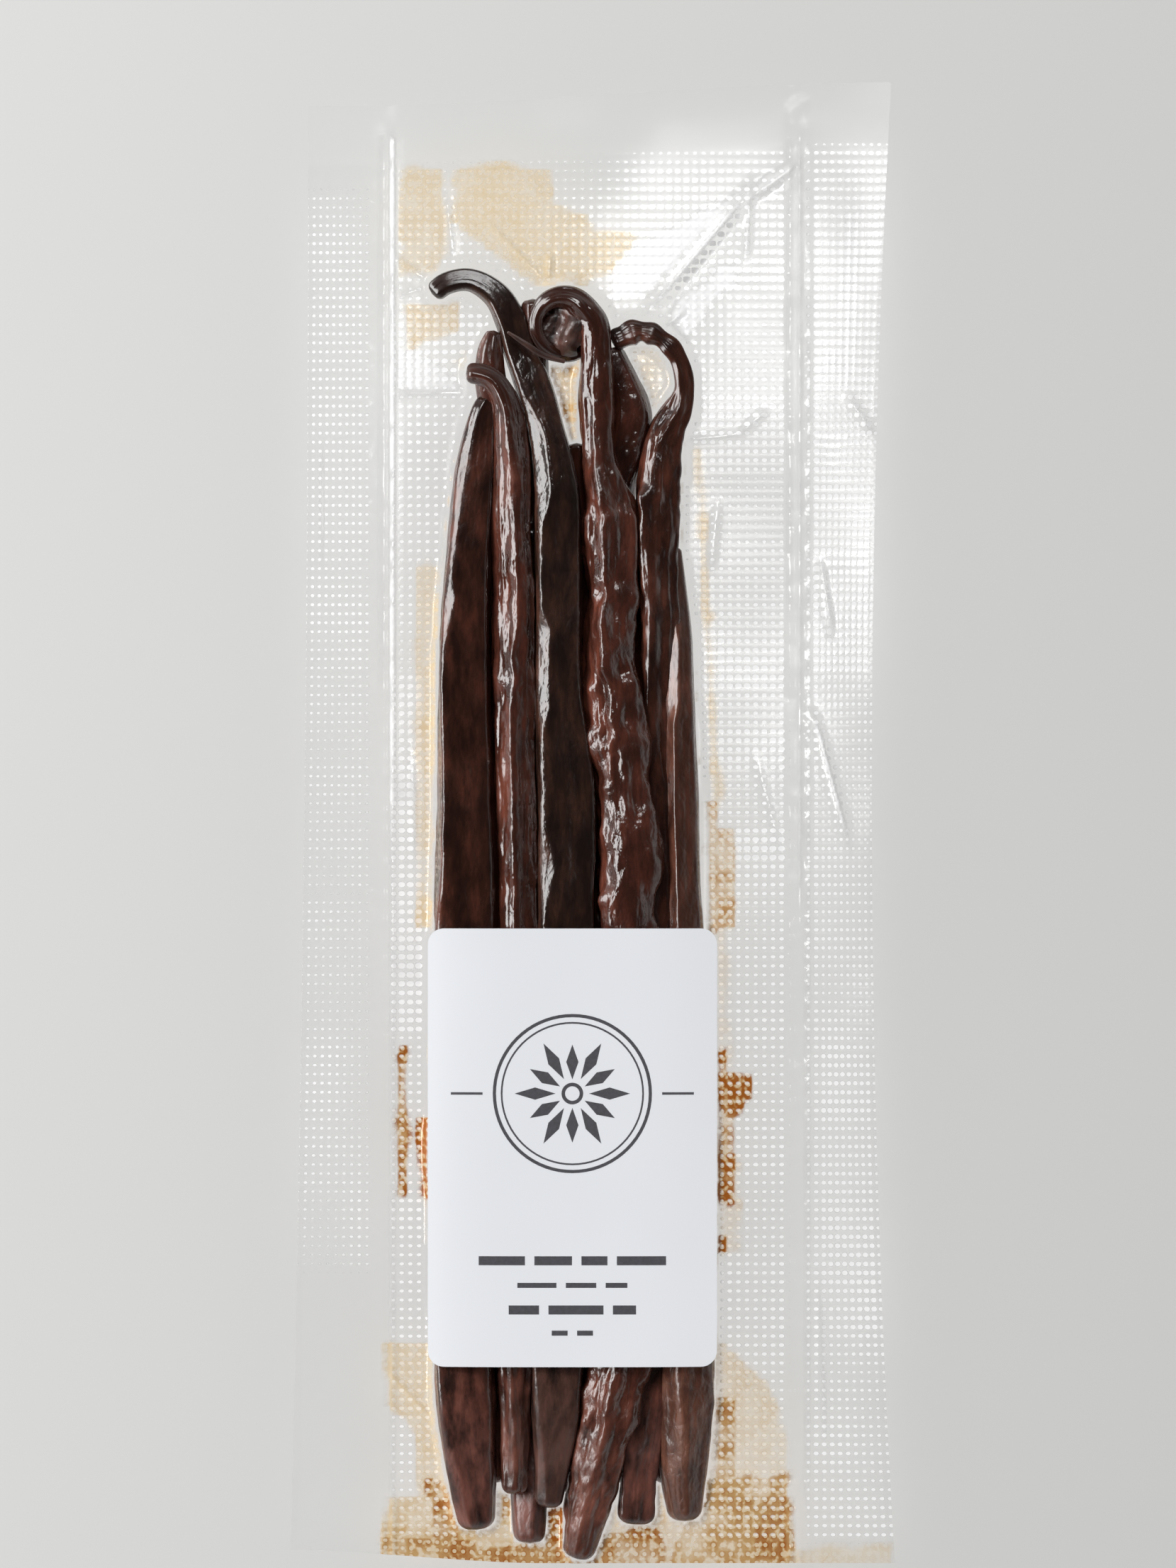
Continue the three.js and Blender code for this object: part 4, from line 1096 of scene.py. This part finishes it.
def film_noise(rng, x, y, length, width):
    """Smooth random values from -1 to 1 over the film, in waves of a length along and a width across it."""
    return lattice_noise(rng, y + FILM_PATTERN[1], x + FILM_PATTERN[0], length, width)


def with_middle_rows(values):
    """The same values with a row more between each two."""
    finer = np.repeat(values, 2, axis=0)[:-1]
    finer[1::2] = (values[:-1] + values[1:]) / 2
    return finer


def film_mesh(name, x, y, height):
    """A grid bent to the heights given for each of its points."""
    rows, columns = x.shape
    bm = bmesh.new()
    bmesh.ops.create_grid(bm, x_segments=columns - 1, y_segments=rows - 1, size=0.5)
    mesh, flat = mesh_arrays(bm, name)
    column = np.rint((flat[:, 0] + 0.5) * (columns - 1)).astype(int)
    row = np.rint((flat[:, 1] + 0.5) * (rows - 1)).astype(int)
    edge_x, edge_y = outline(x, y)
    place_points(mesh, np.stack([edge_x, edge_y, height], 2)[row, column])
    return mesh, row, column


def highest(points, x, y):
    """For each point of the grid, the highest of the points nearest to it, or far down if there is none."""
    rows, columns = x.shape
    column = np.rint((points[:, 0] - x[0, 0]) / (x[0, 1] - x[0, 0])).astype(int).clip(0, columns - 1)
    row = np.rint((points[:, 1] - y[0, 0]) / (y[1, 0] - y[0, 0])).astype(int).clip(0, rows - 1)
    heights = np.full(x.shape, FAR_DOWN)
    np.maximum.at(heights, (row, column), points[:, 2])
    return heights


def stretched_over(things, seam, x, y, ceiling=np.inf):
    """A sheet drawn over things by the vacuum: it rests on them, and curves down to the seam between them."""
    step_x, step_y = x[0, 1] - x[0, 0], y[1, 0] - y[0, 0]
    weight_x, weight_y = step_y**2, step_x**2
    pull = TENT_PULL * (step_x * step_y) ** 2 / (weight_x + weight_y)
    support = np.maximum(things, seam)
    sheet = support.copy()
    for _ in range(TENT_ROUNDS):
        beside = weight_x * (sheet[1:-1, 2:] + sheet[1:-1, :-2])
        beyond = weight_y * (sheet[2:, 1:-1] + sheet[:-2, 1:-1])
        mean = (beside + beyond) / (2 * (weight_x + weight_y)) - pull
        sheet[1:-1, 1:-1] = np.maximum(support[1:-1, 1:-1], mean)
    return np.minimum(softened(sheet, 2), ceiling)


def softened(values, rounds):
    for _ in range(rounds):
        padded = np.pad(values, 1, mode="edge")
        around = padded[2:, 1:-1] + padded[:-2, 1:-1] + padded[1:-1, 2:] + padded[1:-1, :-2]
        values = 0.5 * values + 0.125 * around
    return values


def crease_relief(x, y):
    """Height of the creases, and the painted highlights: bright lines on their crests and along the seams."""
    height_there, bright = np.zeros_like(x), np.zeros_like(x)
    for ax, ay, bx, by, height, half_width in CREASES:
        length = math.hypot(bx - ax, by - ay)
        ux, uy = (bx - ax) / length, (by - ay) / length
        along = (x - ax) * ux + (y - ay) * uy
        off = np.abs((x - ax) * uy - (y - ay) * ux)
        end = CREASE_ENDS * length
        fade = smoothstep(along, -half_width, end) * smoothstep(length - along, -half_width, end)
        height_there += height * np.maximum(0, 1 - off / half_width) ** CREASE_SHARPNESS * fade
        crest = max(CREST, CREASE_CREST * half_width)
        bright += max(height, 0) * CREASE_HIGHLIGHT * np.maximum(0, 1 - off / crest) * fade
    inner, outer = LINE_FADE
    for place, low, high, whiteness in SEAM_HIGHLIGHTS:
        span = smoothstep(y, low - inner, low + inner) * (1 - smoothstep(y, high - inner, high + outer))
        bright += whiteness * np.maximum(0, 1 - np.abs(x - place) / CREST) * span
    return height_there, bright.clip(0, 1)


def seam_masks(x, y):
    """Where the sheets are sealed smooth: along the sides, across the top and along the foot."""
    before, past = SEAM_FADE["side"]
    side = 0
    for seam in (LEFT_SEAM, RIGHT_SEAM):
        begun, ended = (smoothstep(x, edge - before, edge + past) for edge in seam)
        side = side + begun * (1 - ended)
    before, past = SEAM_FADE["top"]
    top_edge = np.interp(x, *TOP_SEAM)
    top = smoothstep(y, top_edge - before, top_edge + past)
    before, past = SEAM_FADE["foot"]
    foot = 1 - smoothstep(y, FOOT_SEAM - before, FOOT_SEAM + past)
    return side.clip(0, 1), top, foot


def free_relief(x, y, rng):
    """Waves of the free film, the ridges along its seams and the short wrinkles across them."""
    waves = sum(height * film_noise(rng, x, y, length, width) for height, length, width in WAVES)
    waves = waves - FLAP_DROOP * np.maximum(-x - FLAP_EDGE, 0)
    ridges = 0
    for place, height in SEAM_RIDGES:
        ridges = ridges + height * np.maximum(0, 1 - np.abs(x - place) / SEAM_RIDGE_HALF)
    puckers = np.where(x > 0, *PUCKERS) * film_noise(rng, x, y, *PUCKER_SIZE) * seam_masks(x, y)[0]
    return waves + ridges * (y < SEAM_RIDGE_TOP) + puckers


def sheen_on(x, y, sparkle, pits):
    """How white the film is painted where it mirrors the window: a painted reflection."""
    sheen = np.zeros_like(x)
    for whiteness, *corners in SHEEN:
        inside = inside_outline(x, y, corners) + SHEEN_RAGGED * sparkle
        sheen = np.maximum(sheen, whiteness * smoothstep(inside, *SHEEN_EDGE))
    return sheen * (1 - SHEEN_DIMPLES * pits)


def frost_and_glint_on(x, y, rng):
    """How white the dimples are in each place, as frosting and painted glints."""
    frost_and_glint = np.zeros_like(x)
    for left, right, low, high, whiteness in FROST_AND_GLINT:
        inside = np.minimum(np.minimum(x - left, right - x), np.minimum(y - low, high - y))
        frost_and_glint = np.maximum(frost_and_glint, whiteness * smoothstep(inside, -FROST_AND_GLINT_EDGE / 2, FROST_AND_GLINT_EDGE / 2))
    clouds = (share * film_noise(rng, x, y, length, width) for share, length, width in FROST_AND_GLINT_CLOUDS)
    return frost_and_glint * sum(clouds, 1)


def dimple_strength(x, y, contact):
    """How deep the embossing is: none over the pods and in the seams, faint at the left and at the top."""
    side, top, foot = seam_masks(x, y)
    margin = smoothstep(-x, *MARGIN)
    left = 1 - MARGIN_FAINT[0] * margin * (1 - MARGIN_FAINT[1] * smoothstep(y, *MARGIN_FAINT[2]))
    low = 1 - smoothstep(-y, *MARGIN_BARE) * margin
    fading = 1 - TOP_FAINT[0] * smoothstep(y, *TOP_FAINT[1])
    return (1 - side) * (1 - top) * (1 - foot) * left * low * fading * (1 - contact)


def inside_outline(x, y, corners):
    """How far each point lies within an outline; points outside it have minus their distance to it."""
    corners = np.array(corners, float)
    nearest, crossings = np.full(x.shape, 1e9), np.zeros(x.shape, int)
    for (ax, ay), (bx, by) in zip(corners, np.roll(corners, -1, 0)):
        side = (bx - ax, by - ay)
        share = (((x - ax) * side[0] + (y - ay) * side[1]) / (side[0] ** 2 + side[1] ** 2)).clip(0, 1)
        nearest = np.minimum(nearest, np.hypot(x - ax - share * side[0], y - ay - share * side[1]))
        spans = (ay > y) != (by > y)
        crossings += spans & (x < ax + (y - ay) * side[0] / (side[1] or 1e-9))
    return np.where(crossings % 2 == 1, nearest, -nearest)


def in_cells(place, start, step):
    """Each place drawn towards the middle of its dimple, so that an edge steps from dimple to dimple."""
    cell = np.rint((place - start) / step + 1e-6) * step + start
    return cell + OIL_CREEP * (place - cell)


def oil_marks(x, y, beside, rng):
    """Strength and tone of the oil: stains between the sheets, and a fringe beside the pods."""
    x_there, y_there = in_cells(x, LOW[0], DIMPLE_ACROSS), in_cells(y, LOW[1], DIMPLE_ALONG)
    broad, speck = (film_noise(rng, x_there, y_there, *size) for size in OIL_CLOUDS)
    fringe = smoothstep(beside, *FRINGE_BESIDE) * smoothstep(broad + speck, *FRINGE_GAPS) * (y < FRINGE_UP_TO)
    strength = FRINGE[0] * fringe
    tone = np.full(x.shape, FRINGE[1])
    for amount, redness, *corners in STAINS:
        inside = inside_outline(x_there, y_there, corners) + OIL_WANDER[0] * broad + OIL_WANDER[1] * speck
        flecks = 1 + OIL_FLECKS[1] * speck + OIL_FLECKS[0] * broad
        here = amount * smoothstep(inside, *OIL_EDGE) * flecks
        tone = np.where(here > strength, redness * (1 + TONE_FLECKS * speck), tone)
        strength = np.maximum(strength, here)
    return strength.clip(0, 1), tone.clip(0, 1)


def embossing_group():
    """The dimples of a sheet, counted across and along it: the white spots (frosting and painted glints), the
    rims and the web between.
    """
    name = "Embossing"
    if name in bpy.data.node_groups:
        return bpy.data.node_groups[name]
    inputs = {"Dimples": "NodeSocketVector", "Frost_and_glint": "NodeSocketFloat"}
    outputs = dict.fromkeys(("Spot", "Rim", "Web"), "NodeSocketFloat")
    group, given, result = group_tree(name, inputs, outputs)
    frost_and_glint = given["Frost_and_glint"]
    across, along, _ = add_node(group, "ShaderNodeSeparateXYZ", {0: given["Dimples"]}).outputs

    def wave(coordinate, shift):
        """1 at each dimple's middle, moved by a share of a dimple, and 0 half way to the next."""
        turns = maths(group, "MULTIPLY_ADD", coordinate, 2 * math.pi, shift * 2 * math.pi)
        return maths(group, "MULTIPLY_ADD", maths(group, "COSINE", turns), 0.5, 0.5)

    wide = maths(group, "POWER", wave(across, SPOT_SHIFT[0]), SPOT_POWERS[0])
    thin = maths(group, "POWER", wave(along, SPOT_SHIFT[1]), SPOT_POWERS[1])
    start = maths(group, "MULTIPLY_ADD", frost_and_glint, *SPOT_EDGE)
    frost_and_glint_spot = ranged(group, maths(group, "MULTIPLY", wide, thin), start, maths(group, "ADD", start, SPOT_FADE))
    weight = scaled(group, frost_and_glint, frost_and_glint, *SPOT_FROST_AND_GLINT)

    pit = maths(group, "MULTIPLY", wave(across, 0), wave(along, 0))
    web = ranged(group, pit, *WEB, (1, 0))
    off_rim = maths(group, "ABSOLUTE", maths(group, "MULTIPLY_ADD", pit, *RIM))
    rim = maths(group, "SUBTRACT", 1.0, off_rim)
    closeness, gaps = FILM_GAPS
    broken = ranged(group, noise(group, given["Dimples"], closeness, 1), *gaps)
    set_inputs(group, result, {
        "Spot": maths(group, "MULTIPLY", frost_and_glint_spot, weight, clamp=True),
        "Rim": maths(group, "MULTIPLY", maths(group, "MAXIMUM", rim, 0.0), broken),
        "Web": maths(group, "MULTIPLY", web, broken),
    })
    return group


def dimpled_film(settings):
    """Clear film with a mirror's share for its gloss, white spots on its dimples that are frosting and
    painted glints, painted highlights, and oil behind it.
    """
    material, tree, shader = new_material("Dimpled film")
    inputs = {"Dimples": kept(tree, "dimples", "Vector"), "Frost_and_glint": kept(tree, "frost_and_glint")}
    frost_and_glint_spot, rim, web = use_group(tree, embossing_group(), inputs)
    # the painted highlights of the creases, seams and sheen patches join the white spots
    frost_and_glint_spot = maths(tree, "MAXIMUM", frost_and_glint_spot, kept(tree, "bright"))
    oil = kept(tree, "oil")

    # the oil is thicker at the rims of the dimples and on the web between them, and hides more there
    thickness = maths(tree, "MULTIPLY_ADD", web, *OIL_DEPTH["web"])
    thickness = maths(tree, "MULTIPLY_ADD", rim, OIL_DEPTH["rim"], thickness)
    thick = maths(tree, "MULTIPLY", thickness, kept(tree, "oil_tone"), clamp=True)
    tint = blend_colours(tree, thick, (*settings.tan, 1), (*settings.brown, 1))
    cover = maths(tree, "MULTIPLY_ADD", web, *OIL_COVER["web"])
    cover = maths(tree, "MULTIPLY_ADD", thick, OIL_COVER["depth"], cover)
    cover = maths(tree, "MULTIPLY", oil, cover, clamp=True)
    stained = maths(tree, "MULTIPLY", oil, OIL_STAIN, clamp=True)
    # the white spots and painted highlights show through the oil, and neither mirrors as the clear film does
    bare = maths(tree, "MULTIPLY_ADD", frost_and_glint_spot, -SPOT_OVER_OIL, 1.0, clamp=True)
    clear = blend_colours(tree, frost_and_glint_spot, CLEAR_GREY, FROST_AND_GLINT_WHITE)
    dull = maths(tree, "MAXIMUM", frost_and_glint_spot, maths(tree, "MULTIPLY", stained, OIL_DULLS))
    solid = maths(tree, "ADD", cover, kept(tree, "haze"))
    set_inputs(tree, shader, {
        "Base Color": blend_colours(tree, maths(tree, "MULTIPLY", stained, bare), clear, tint),
        "Alpha": maths(tree, "ADD", solid, frost_and_glint_spot, clamp=True),
        "Metallic": maths(tree, "MULTIPLY_ADD", dull, -MIRROR["front"], MIRROR["front"], clamp=True),
        "Roughness": settings.gloss,
    })
    return material


def plain_film(settings):
    """Clear film without dimples, for the back."""
    material, tree, shader = new_material("Plain film")
    set_inputs(tree, shader, {
        "Base Color": BACK_WHITE,
        "Metallic": MIRROR["back"],
        "Alpha": kept(tree, "haze"),
        "Roughness": settings.gloss,
    })
    return material


class VANILLA_OT_film(bpy.types.Operator):
    """Make the two sheets of film, drawn tight over the pods"""

    bl_idname = "vanilla.film"
    bl_label = "Make the film"

    def execute(self, context):
        settings = context.scene.vanilla_film
        self.front(settings)
        self.back(settings)
        return {"FINISHED"}

    def front(self, settings):
        """The dimpled sheet, in three pieces that meet at the side seams."""
        rng = np.random.default_rng(FRONT_SEED)
        x, y = film_grid(DIMPLE_ACROSS / COLUMNS_PER_DIMPLE, 2 * DIMPLE_ALONG / ROWS_PER_DIMPLE)
        things = highest(shared["skins"], x, y) + CLEARANCE
        height = stretched_over(things, SEAM_HEIGHT + SHEET_GAP, x, y)
        lifted = smoothstep(height - SEAM_HEIGHT, *LIFTED)
        contact = np.maximum(1 - smoothstep(height - things, *PARTED), smoothstep(things, *NEAR_SKIN))
        on_pod = smoothstep(things, *ON_POD)
        slope = np.hypot(*np.gradient(height, y[:, 0], x[0]))
        x, y, height, contact, on_pod, lifted, slope = map(
            with_middle_rows, (x, y, height, contact, on_pod, lifted, slope)
        )

        creases, bright = crease_relief(x, y)
        waves = free_relief(x, y, rng) * (1 - lifted) + creases * (1 - contact)
        dimples = np.stack([(x - LOW[0]) / DIMPLE_ACROSS, (y - LOW[1]) / DIMPLE_ALONG, 0 * x], 2)
        dimple = dimple_strength(x, y, contact)
        pits = np.prod(1 + np.cos(2 * math.pi * dimples[..., :2]), axis=2) / 4
        height = height + waves - settings.dimple_depth / MM * pits * dimple
        under_label = label_underside(x - LABEL_MIDDLE[0]) - UNDER_LABEL
        on_label = (np.abs(x - LABEL_MIDDLE[0]) < LABEL_RIM[0]) & (np.abs(y - LABEL_MIDDLE[1]) < LABEL_RIM[1])
        height = np.where(on_label, np.minimum(height, under_label), height)
        above = height - SEAM_HEIGHT

        level = 1 - smoothstep(softened(slope, 2), *FLAT_SLOPE)
        edge = np.maximum(np.abs(x) - CUT_EDGE[0], np.abs(y) - CUT_EDGE[1])
        haze = settings.clear * (SLOPE_HAZE + (1 - SLOPE_HAZE) * level) * (1 - contact)
        haze = haze * (1 + EDGE_HAZE[0] * smoothstep(edge, 0, EDGE_HAZE[1]))
        haze = haze * (1 - TOP_CLEAR * seam_masks(x, y)[1])
        beside = lifted * (1 - smoothstep(above, *FRINGE_TOP)) * (1 - smoothstep(contact, 0, 0.6))
        oil, tone = oil_marks(x, y, beside, rng)
        frost_and_glint = frost_and_glint_on(x, y, rng) * dimple * (1 - smoothstep(slope, *GENTLE_SLOPE))
        sparkle = film_noise(rng, x, y, *SPARKLE[1:])
        # painted highlights: bright lines on crease crests and along seams, and painted reflection in the
        # sheen patches
        painted_highlights = np.maximum(bright * (1 + SPARKLE[0] * sparkle), sheen_on(x, y, sparkle, pits))
        looks = {
            "haze": haze,
            "frost_and_glint": frost_and_glint,
            "bright": painted_highlights * (1 - contact),
            "oil": oil * (1 - on_pod) * (1 - smoothstep(above, *OIL_TOP)),
            "oil_tone": tone,
        }
        material = dimpled_film(settings)
        for name, (first, last) in FRONT_SHEETS.items():
            part = slice(first * COLUMNS_PER_DIMPLE, last * COLUMNS_PER_DIMPLE + 1)
            mesh, row, column = film_mesh(name, x[:, part], y[:, part], height[:, part])
            for key, values in looks.items():
                store(mesh, key, values[:, part][row, column])
            store(mesh, "dimples", dimples[:, part][row, column], "FLOAT_VECTOR")
            finished(name, mesh, material, "film", "pouch").visible_shadow = False

    def back(self, settings):
        """The plain sheet: it hangs from the seams round the rear pods, and is drawn as if turned over."""
        x, y = film_grid(*BACK_GRID)
        things = highest(shared["skins"] * (1, 1, -1), x, y) + CLEARANCE
        height = -stretched_over(things, SHEET_GAP - SEAM_HEIGHT, x, y, ceiling=-TABLE_FILM)
        lifted = smoothstep(SEAM_HEIGHT - height, *LIFTED)
        waves = free_relief(x, y, np.random.default_rng(FRONT_SEED)) + BACK_CREASES * crease_relief(x, y)[0]
        height = height + waves * (1 - lifted)
        contact = 1 - smoothstep(-height - things, *PARTED)
        mesh, row, column = film_mesh("film_back", x, y, np.maximum(height, TABLE_FILM))
        store(mesh, "haze", (settings.clear * BACK_HAZE * (1 - contact))[row, column])
        mesh.flip_normals()
        finished("film_back", mesh, plain_film(settings), "film", "pouch").visible_shadow = False


# ---- the label and its print ----


def paper_material(settings):
    material, tree, shader = new_material("Label paper")
    place = object_place(tree)
    set_inputs(tree, shader, {
        "Base Color": clouded(tree, settings.paper, noise(tree, place, 40, 2), 0.06, 0.97),
        "Normal": bump(tree, noise(tree, place, 900, 3), 0.02 * MM, 0.5),
        "Roughness": 0.42,
    })
    return material


def ink_material(settings):
    material, tree, shader = new_material("Ink")
    grain = noise(tree, object_place(tree), 2500, 2)
    set_inputs(tree, shader, {"Base Color": clouded(tree, settings.ink, grain, 0.7, 0.65), "Roughness": 0.5})
    return material


class VANILLA_OT_label(bpy.types.Operator):
    """Make the paper label that lies over the film"""

    bl_idname = "vanilla.label"
    bl_label = "Make the label"

    def execute(self, context):
        bm = bmesh.new()
        bmesh.ops.create_cube(bm, size=1)
        bmesh.ops.scale(bm, vec=(2 * LABEL_HALF[0], 2 * LABEL_HALF[1], LABEL_THICKNESS), verts=bm.verts)
        upright = [e for e in bm.edges if abs(e.verts[0].co.z - e.verts[1].co.z) > LABEL_THICKNESS / 2]
        bmesh.ops.bevel(
            bm, geom=upright, offset=LABEL_CORNER, offset_type="OFFSET", segments=8, profile=0.5,
            affect="EDGES", material=-1,
        )
        for axis, cuts in enumerate(LABEL_CUTS):
            normal = Vector((axis == 0, axis == 1, 0))
            for cut in range(1, cuts):
                place = normal * (2 * LABEL_HALF[axis] * (cut / cuts - 0.5))
                geometry = [*bm.verts, *bm.edges, *bm.faces]
                bmesh.ops.bisect_plane(bm, geom=geometry, plane_co=place, plane_no=normal)
        mesh, points = mesh_arrays(bm, "label_sheet")
        points[:, 2] += label_underside(points[:, 0]) + LABEL_THICKNESS / 2
        points[:, :2] += LABEL_MIDDLE[:2]
        place_points(mesh, points)
        piece = finished("label_sheet", mesh, paper_material(context.scene.vanilla_label), "label", "label")
        # a thin sheet's faces stay flat up to its cut edge
        piece.data.set_sharp_from_angle(angle=math.radians(40))
        return {"FINISHED"}


def stamp_bar(bm, x, y, width, height):
    """A bar, cut fine enough across to bend with the label."""
    made = bmesh.ops.create_grid(bm, x_segments=max(2, round(width)), y_segments=1, size=0.5)
    bmesh.ops.scale(bm, vec=(width, height, 1), verts=made["verts"])
    bmesh.ops.translate(bm, vec=(x, y, 0), verts=made["verts"])


def stamp_diamond(bm, x, y, length, width, angle):
    """A lozenge that points along an angle."""
    made = bmesh.ops.create_circle(bm, cap_ends=True, segments=4, radius=1)
    bmesh.ops.scale(bm, vec=(length / 2, width / 2, 1), verts=made["verts"])
    bmesh.ops.rotate(bm, cent=(0, 0, 0), matrix=Matrix.Rotation(angle, 3, "Z"), verts=made["verts"])
    bmesh.ops.translate(bm, vec=(x, y, 0), verts=made["verts"])


def stamp_ring(bm, x, y, outer, inner):
    edges = []
    for radius in (outer, inner):
        made = bmesh.ops.create_circle(bm, segments=72, radius=radius)
        bmesh.ops.translate(bm, vec=(x, y, 0), verts=made["verts"])
        edges += list({e for v in made["verts"] for e in v.link_edges})
    bmesh.ops.bridge_loops(bm, edges=edges)


class VANILLA_OT_print(bpy.types.Operator):
    """Make the plain print on the label: a rosette of lozenges in a ring, and rows of dashes"""

    bl_idname = "vanilla.print"
    bl_label = "Make the print"

    def execute(self, context):
        bm = bmesh.new()
        x, y = ROSETTE_MIDDLE
        for outer, inner in ROSETTE_RINGS:
            stamp_ring(bm, x, y, outer, inner)
        for petal in range(PETALS):
            angle = 2 * math.pi * petal / PETALS
            reach = PETAL_REACHES[petal % 2]
            middle = reach * PETAL_MIDDLE
            place = (x + math.cos(angle) * middle, y + math.sin(angle) * middle)
            stamp_diamond(bm, *place, reach * PETAL_LENGTH, PETAL_WIDTH, angle)
        for height, thickness, lengths in DASH_ROWS:
            start = -(sum(lengths) + DASH_GAP * (len(lengths) - 1)) / 2
            for length in lengths:
                stamp_bar(bm, start + length / 2, height, length, thickness)
                start += length + DASH_GAP
        distance, *size = SIDE_DASHES
        for side in (-distance, distance):
            stamp_bar(bm, side, y, *size)
        mesh, points = mesh_arrays(bm, "label_print")
        points[:, 2] = label_underside(points[:, 0]) + LABEL_THICKNESS + PRINT_LIFT
        points[:, :2] += LABEL_MIDDLE[:2]
        place_points(mesh, points)
        finished("label_print", mesh, ink_material(context.scene.vanilla_label), "print")
        return {"FINISHED"}


# ---- the studio ----


def area_light(name, place, aim, size, radiance):
    """A rectangular lamp of a given radiance, turned to face a point."""
    data = bpy.data.lights.new(name, "AREA")
    data.shape = "RECTANGLE"
    data.size, data.size_y = size
    data.energy = radiance * math.pi * size[0] * size[1]
    lamp = bpy.data.objects.new(name, data)
    bpy.context.scene.collection.objects.link(lamp)
    lamp.location = place
    lamp.rotation_euler = (Vector(aim) - Vector(place)).to_track_quat("-Z", "Y").to_euler()
    return lamp


def studio_world():
    """Light from all round: dim overhead, where the glossy skins mirror it, and bright near the horizon."""
    world = bpy.data.worlds.new("Studio")
    world.use_nodes = True
    tree = world.node_tree
    direction = add_node(tree, "ShaderNodeTexCoord").outputs["Generated"]
    upward = add_node(tree, "ShaderNodeSeparateXYZ", {0: direction}).outputs[2]
    ramp = add_node(tree, "ShaderNodeValToRGB", {"Fac": upward})
    elements = ramp.color_ramp.elements
    elements[0].position, elements[1].position = SKY[0][0], SKY[-1][0]
    for position, _ in SKY[1:-1]:
        elements.new(position)
    for element, (_, level) in zip(elements, SKY):
        element.color = (level, level, level * SKY_WARMTH, 1)
    set_inputs(tree, tree.nodes["Background"], {"Color": ramp.outputs[0]})
    bpy.context.scene.world = world


def studio_floor(settings):
    bm = bmesh.new()
    bmesh.ops.create_grid(bm, x_segments=2, y_segments=2, size=FLOOR_HALF)
    mesh, _ = mesh_arrays(bm, "floor")
    material, tree, shader = new_material("Pale floor")
    cloud = noise(tree, object_place(tree), 4, 2)
    set_inputs(tree, shader, {
        "Base Color": clouded(tree, settings.floor, cloud, 0.03, 0.985),
        "Roughness": 0.9,
        "Specular IOR Level": 0.1,
    })
    mesh.materials.append(material)
    floor = bpy.data.objects.new("floor", mesh)
    bpy.context.scene.collection.objects.link(floor)


def studio_camera(settings):
    """The camera looks straight down at the seams' height, where its field is as high as the settings say."""
    data = bpy.data.cameras.new("Camera")
    data.sensor_fit = "VERTICAL"
    data.sensor_height = SENSOR
    data.lens = settings.lens
    camera = bpy.data.objects.new("Camera", data)
    bpy.context.scene.collection.objects.link(camera)
    distance = settings.lens / SENSOR * settings.view_height
    camera.location = (settings.view_x, settings.view_y, SEAM_HEIGHT * MM + distance)
    bpy.context.scene.camera = camera


class VANILLA_OT_studio(bpy.types.Operator):
    """Make the floor, the lights and the camera that looks down on the pouch"""

    bl_idname = "vanilla.studio"
    bl_label = "Make the studio"

    def execute(self, context):
        settings = context.scene.vanilla_studio
        studio_floor(settings)
        studio_world()
        pieces = [o for o in context.scene.objects if o.type == "MESH" and not o.hide_render]
        lit = {
            "film": [o for o in pieces if o.name.startswith("film")],
            "paper": [o for o in pieces if o.name.startswith("label")],
            "film and floor": [o for o in pieces if o.name.startswith(("film", "floor"))],
            "skins": [o for o in pieces if not o.name.startswith(("film", "floor", "label"))],
        }
        for name, (place, aim, size, setting, share, group, shadow) in LAMPS.items():
            lamp = area_light(name, place, aim, size, getattr(settings, setting) * share)
            lamp.data.use_shadow = shadow
            receivers = bpy.data.collections.new(f"Lit by {name}")
            for piece in lit[group]:
                receivers.objects.link(piece)
            lamp.light_linking.receiver_collection = receivers
        studio_camera(settings)
        context.scene.view_settings.view_transform = "Standard"
        return {"FINISHED"}


class VANILLA_PT_panel(bpy.types.Panel):
    """Lists what the pouch is made of"""

    bl_label = "Vanilla pouch"
    bl_idname = "VANILLA_PT_panel"
    bl_space_type = "VIEW_3D"
    bl_region_type = "UI"
    bl_category = "Vanilla pouch"

    def draw(self, context):
        for owner, (group, operators) in PARTS.items():
            column = self.layout.column()
            for name in group.__annotations__:
                column.prop(getattr(context.scene, owner), name)
            for operator in operators:
                column.operator(operator)


# Each set of settings on the scene, and the operators that use it.
PARTS = {
    "vanilla_pods": (PodSettings, ["vanilla.pods"]),
    "vanilla_film": (FilmSettings, ["vanilla.film"]),
    "vanilla_label": (LabelSettings, ["vanilla.label", "vanilla.print"]),
    "vanilla_studio": (StudioSettings, ["vanilla.studio"]),
}
CLASSES = (
    PodSettings, FilmSettings, LabelSettings, StudioSettings,
    VANILLA_OT_pods, VANILLA_OT_film, VANILLA_OT_label, VANILLA_OT_print, VANILLA_OT_studio, VANILLA_PT_panel,
)


def register():
    for item in CLASSES:
        bpy.utils.register_class(item)
    for owner, (group, _) in PARTS.items():
        setattr(bpy.types.Scene, owner, PointerProperty(type=group))


def unregister():
    for owner in PARTS:
        delattr(bpy.types.Scene, owner)
    for item in reversed(CLASSES):
        bpy.utils.unregister_class(item)


def main():
    register()
    bpy.ops.vanilla.pods()
    bpy.ops.vanilla.film()
    bpy.ops.vanilla.label()
    bpy.ops.vanilla.print()
    bpy.ops.vanilla.studio()


if __name__ == "__main__":
    main()
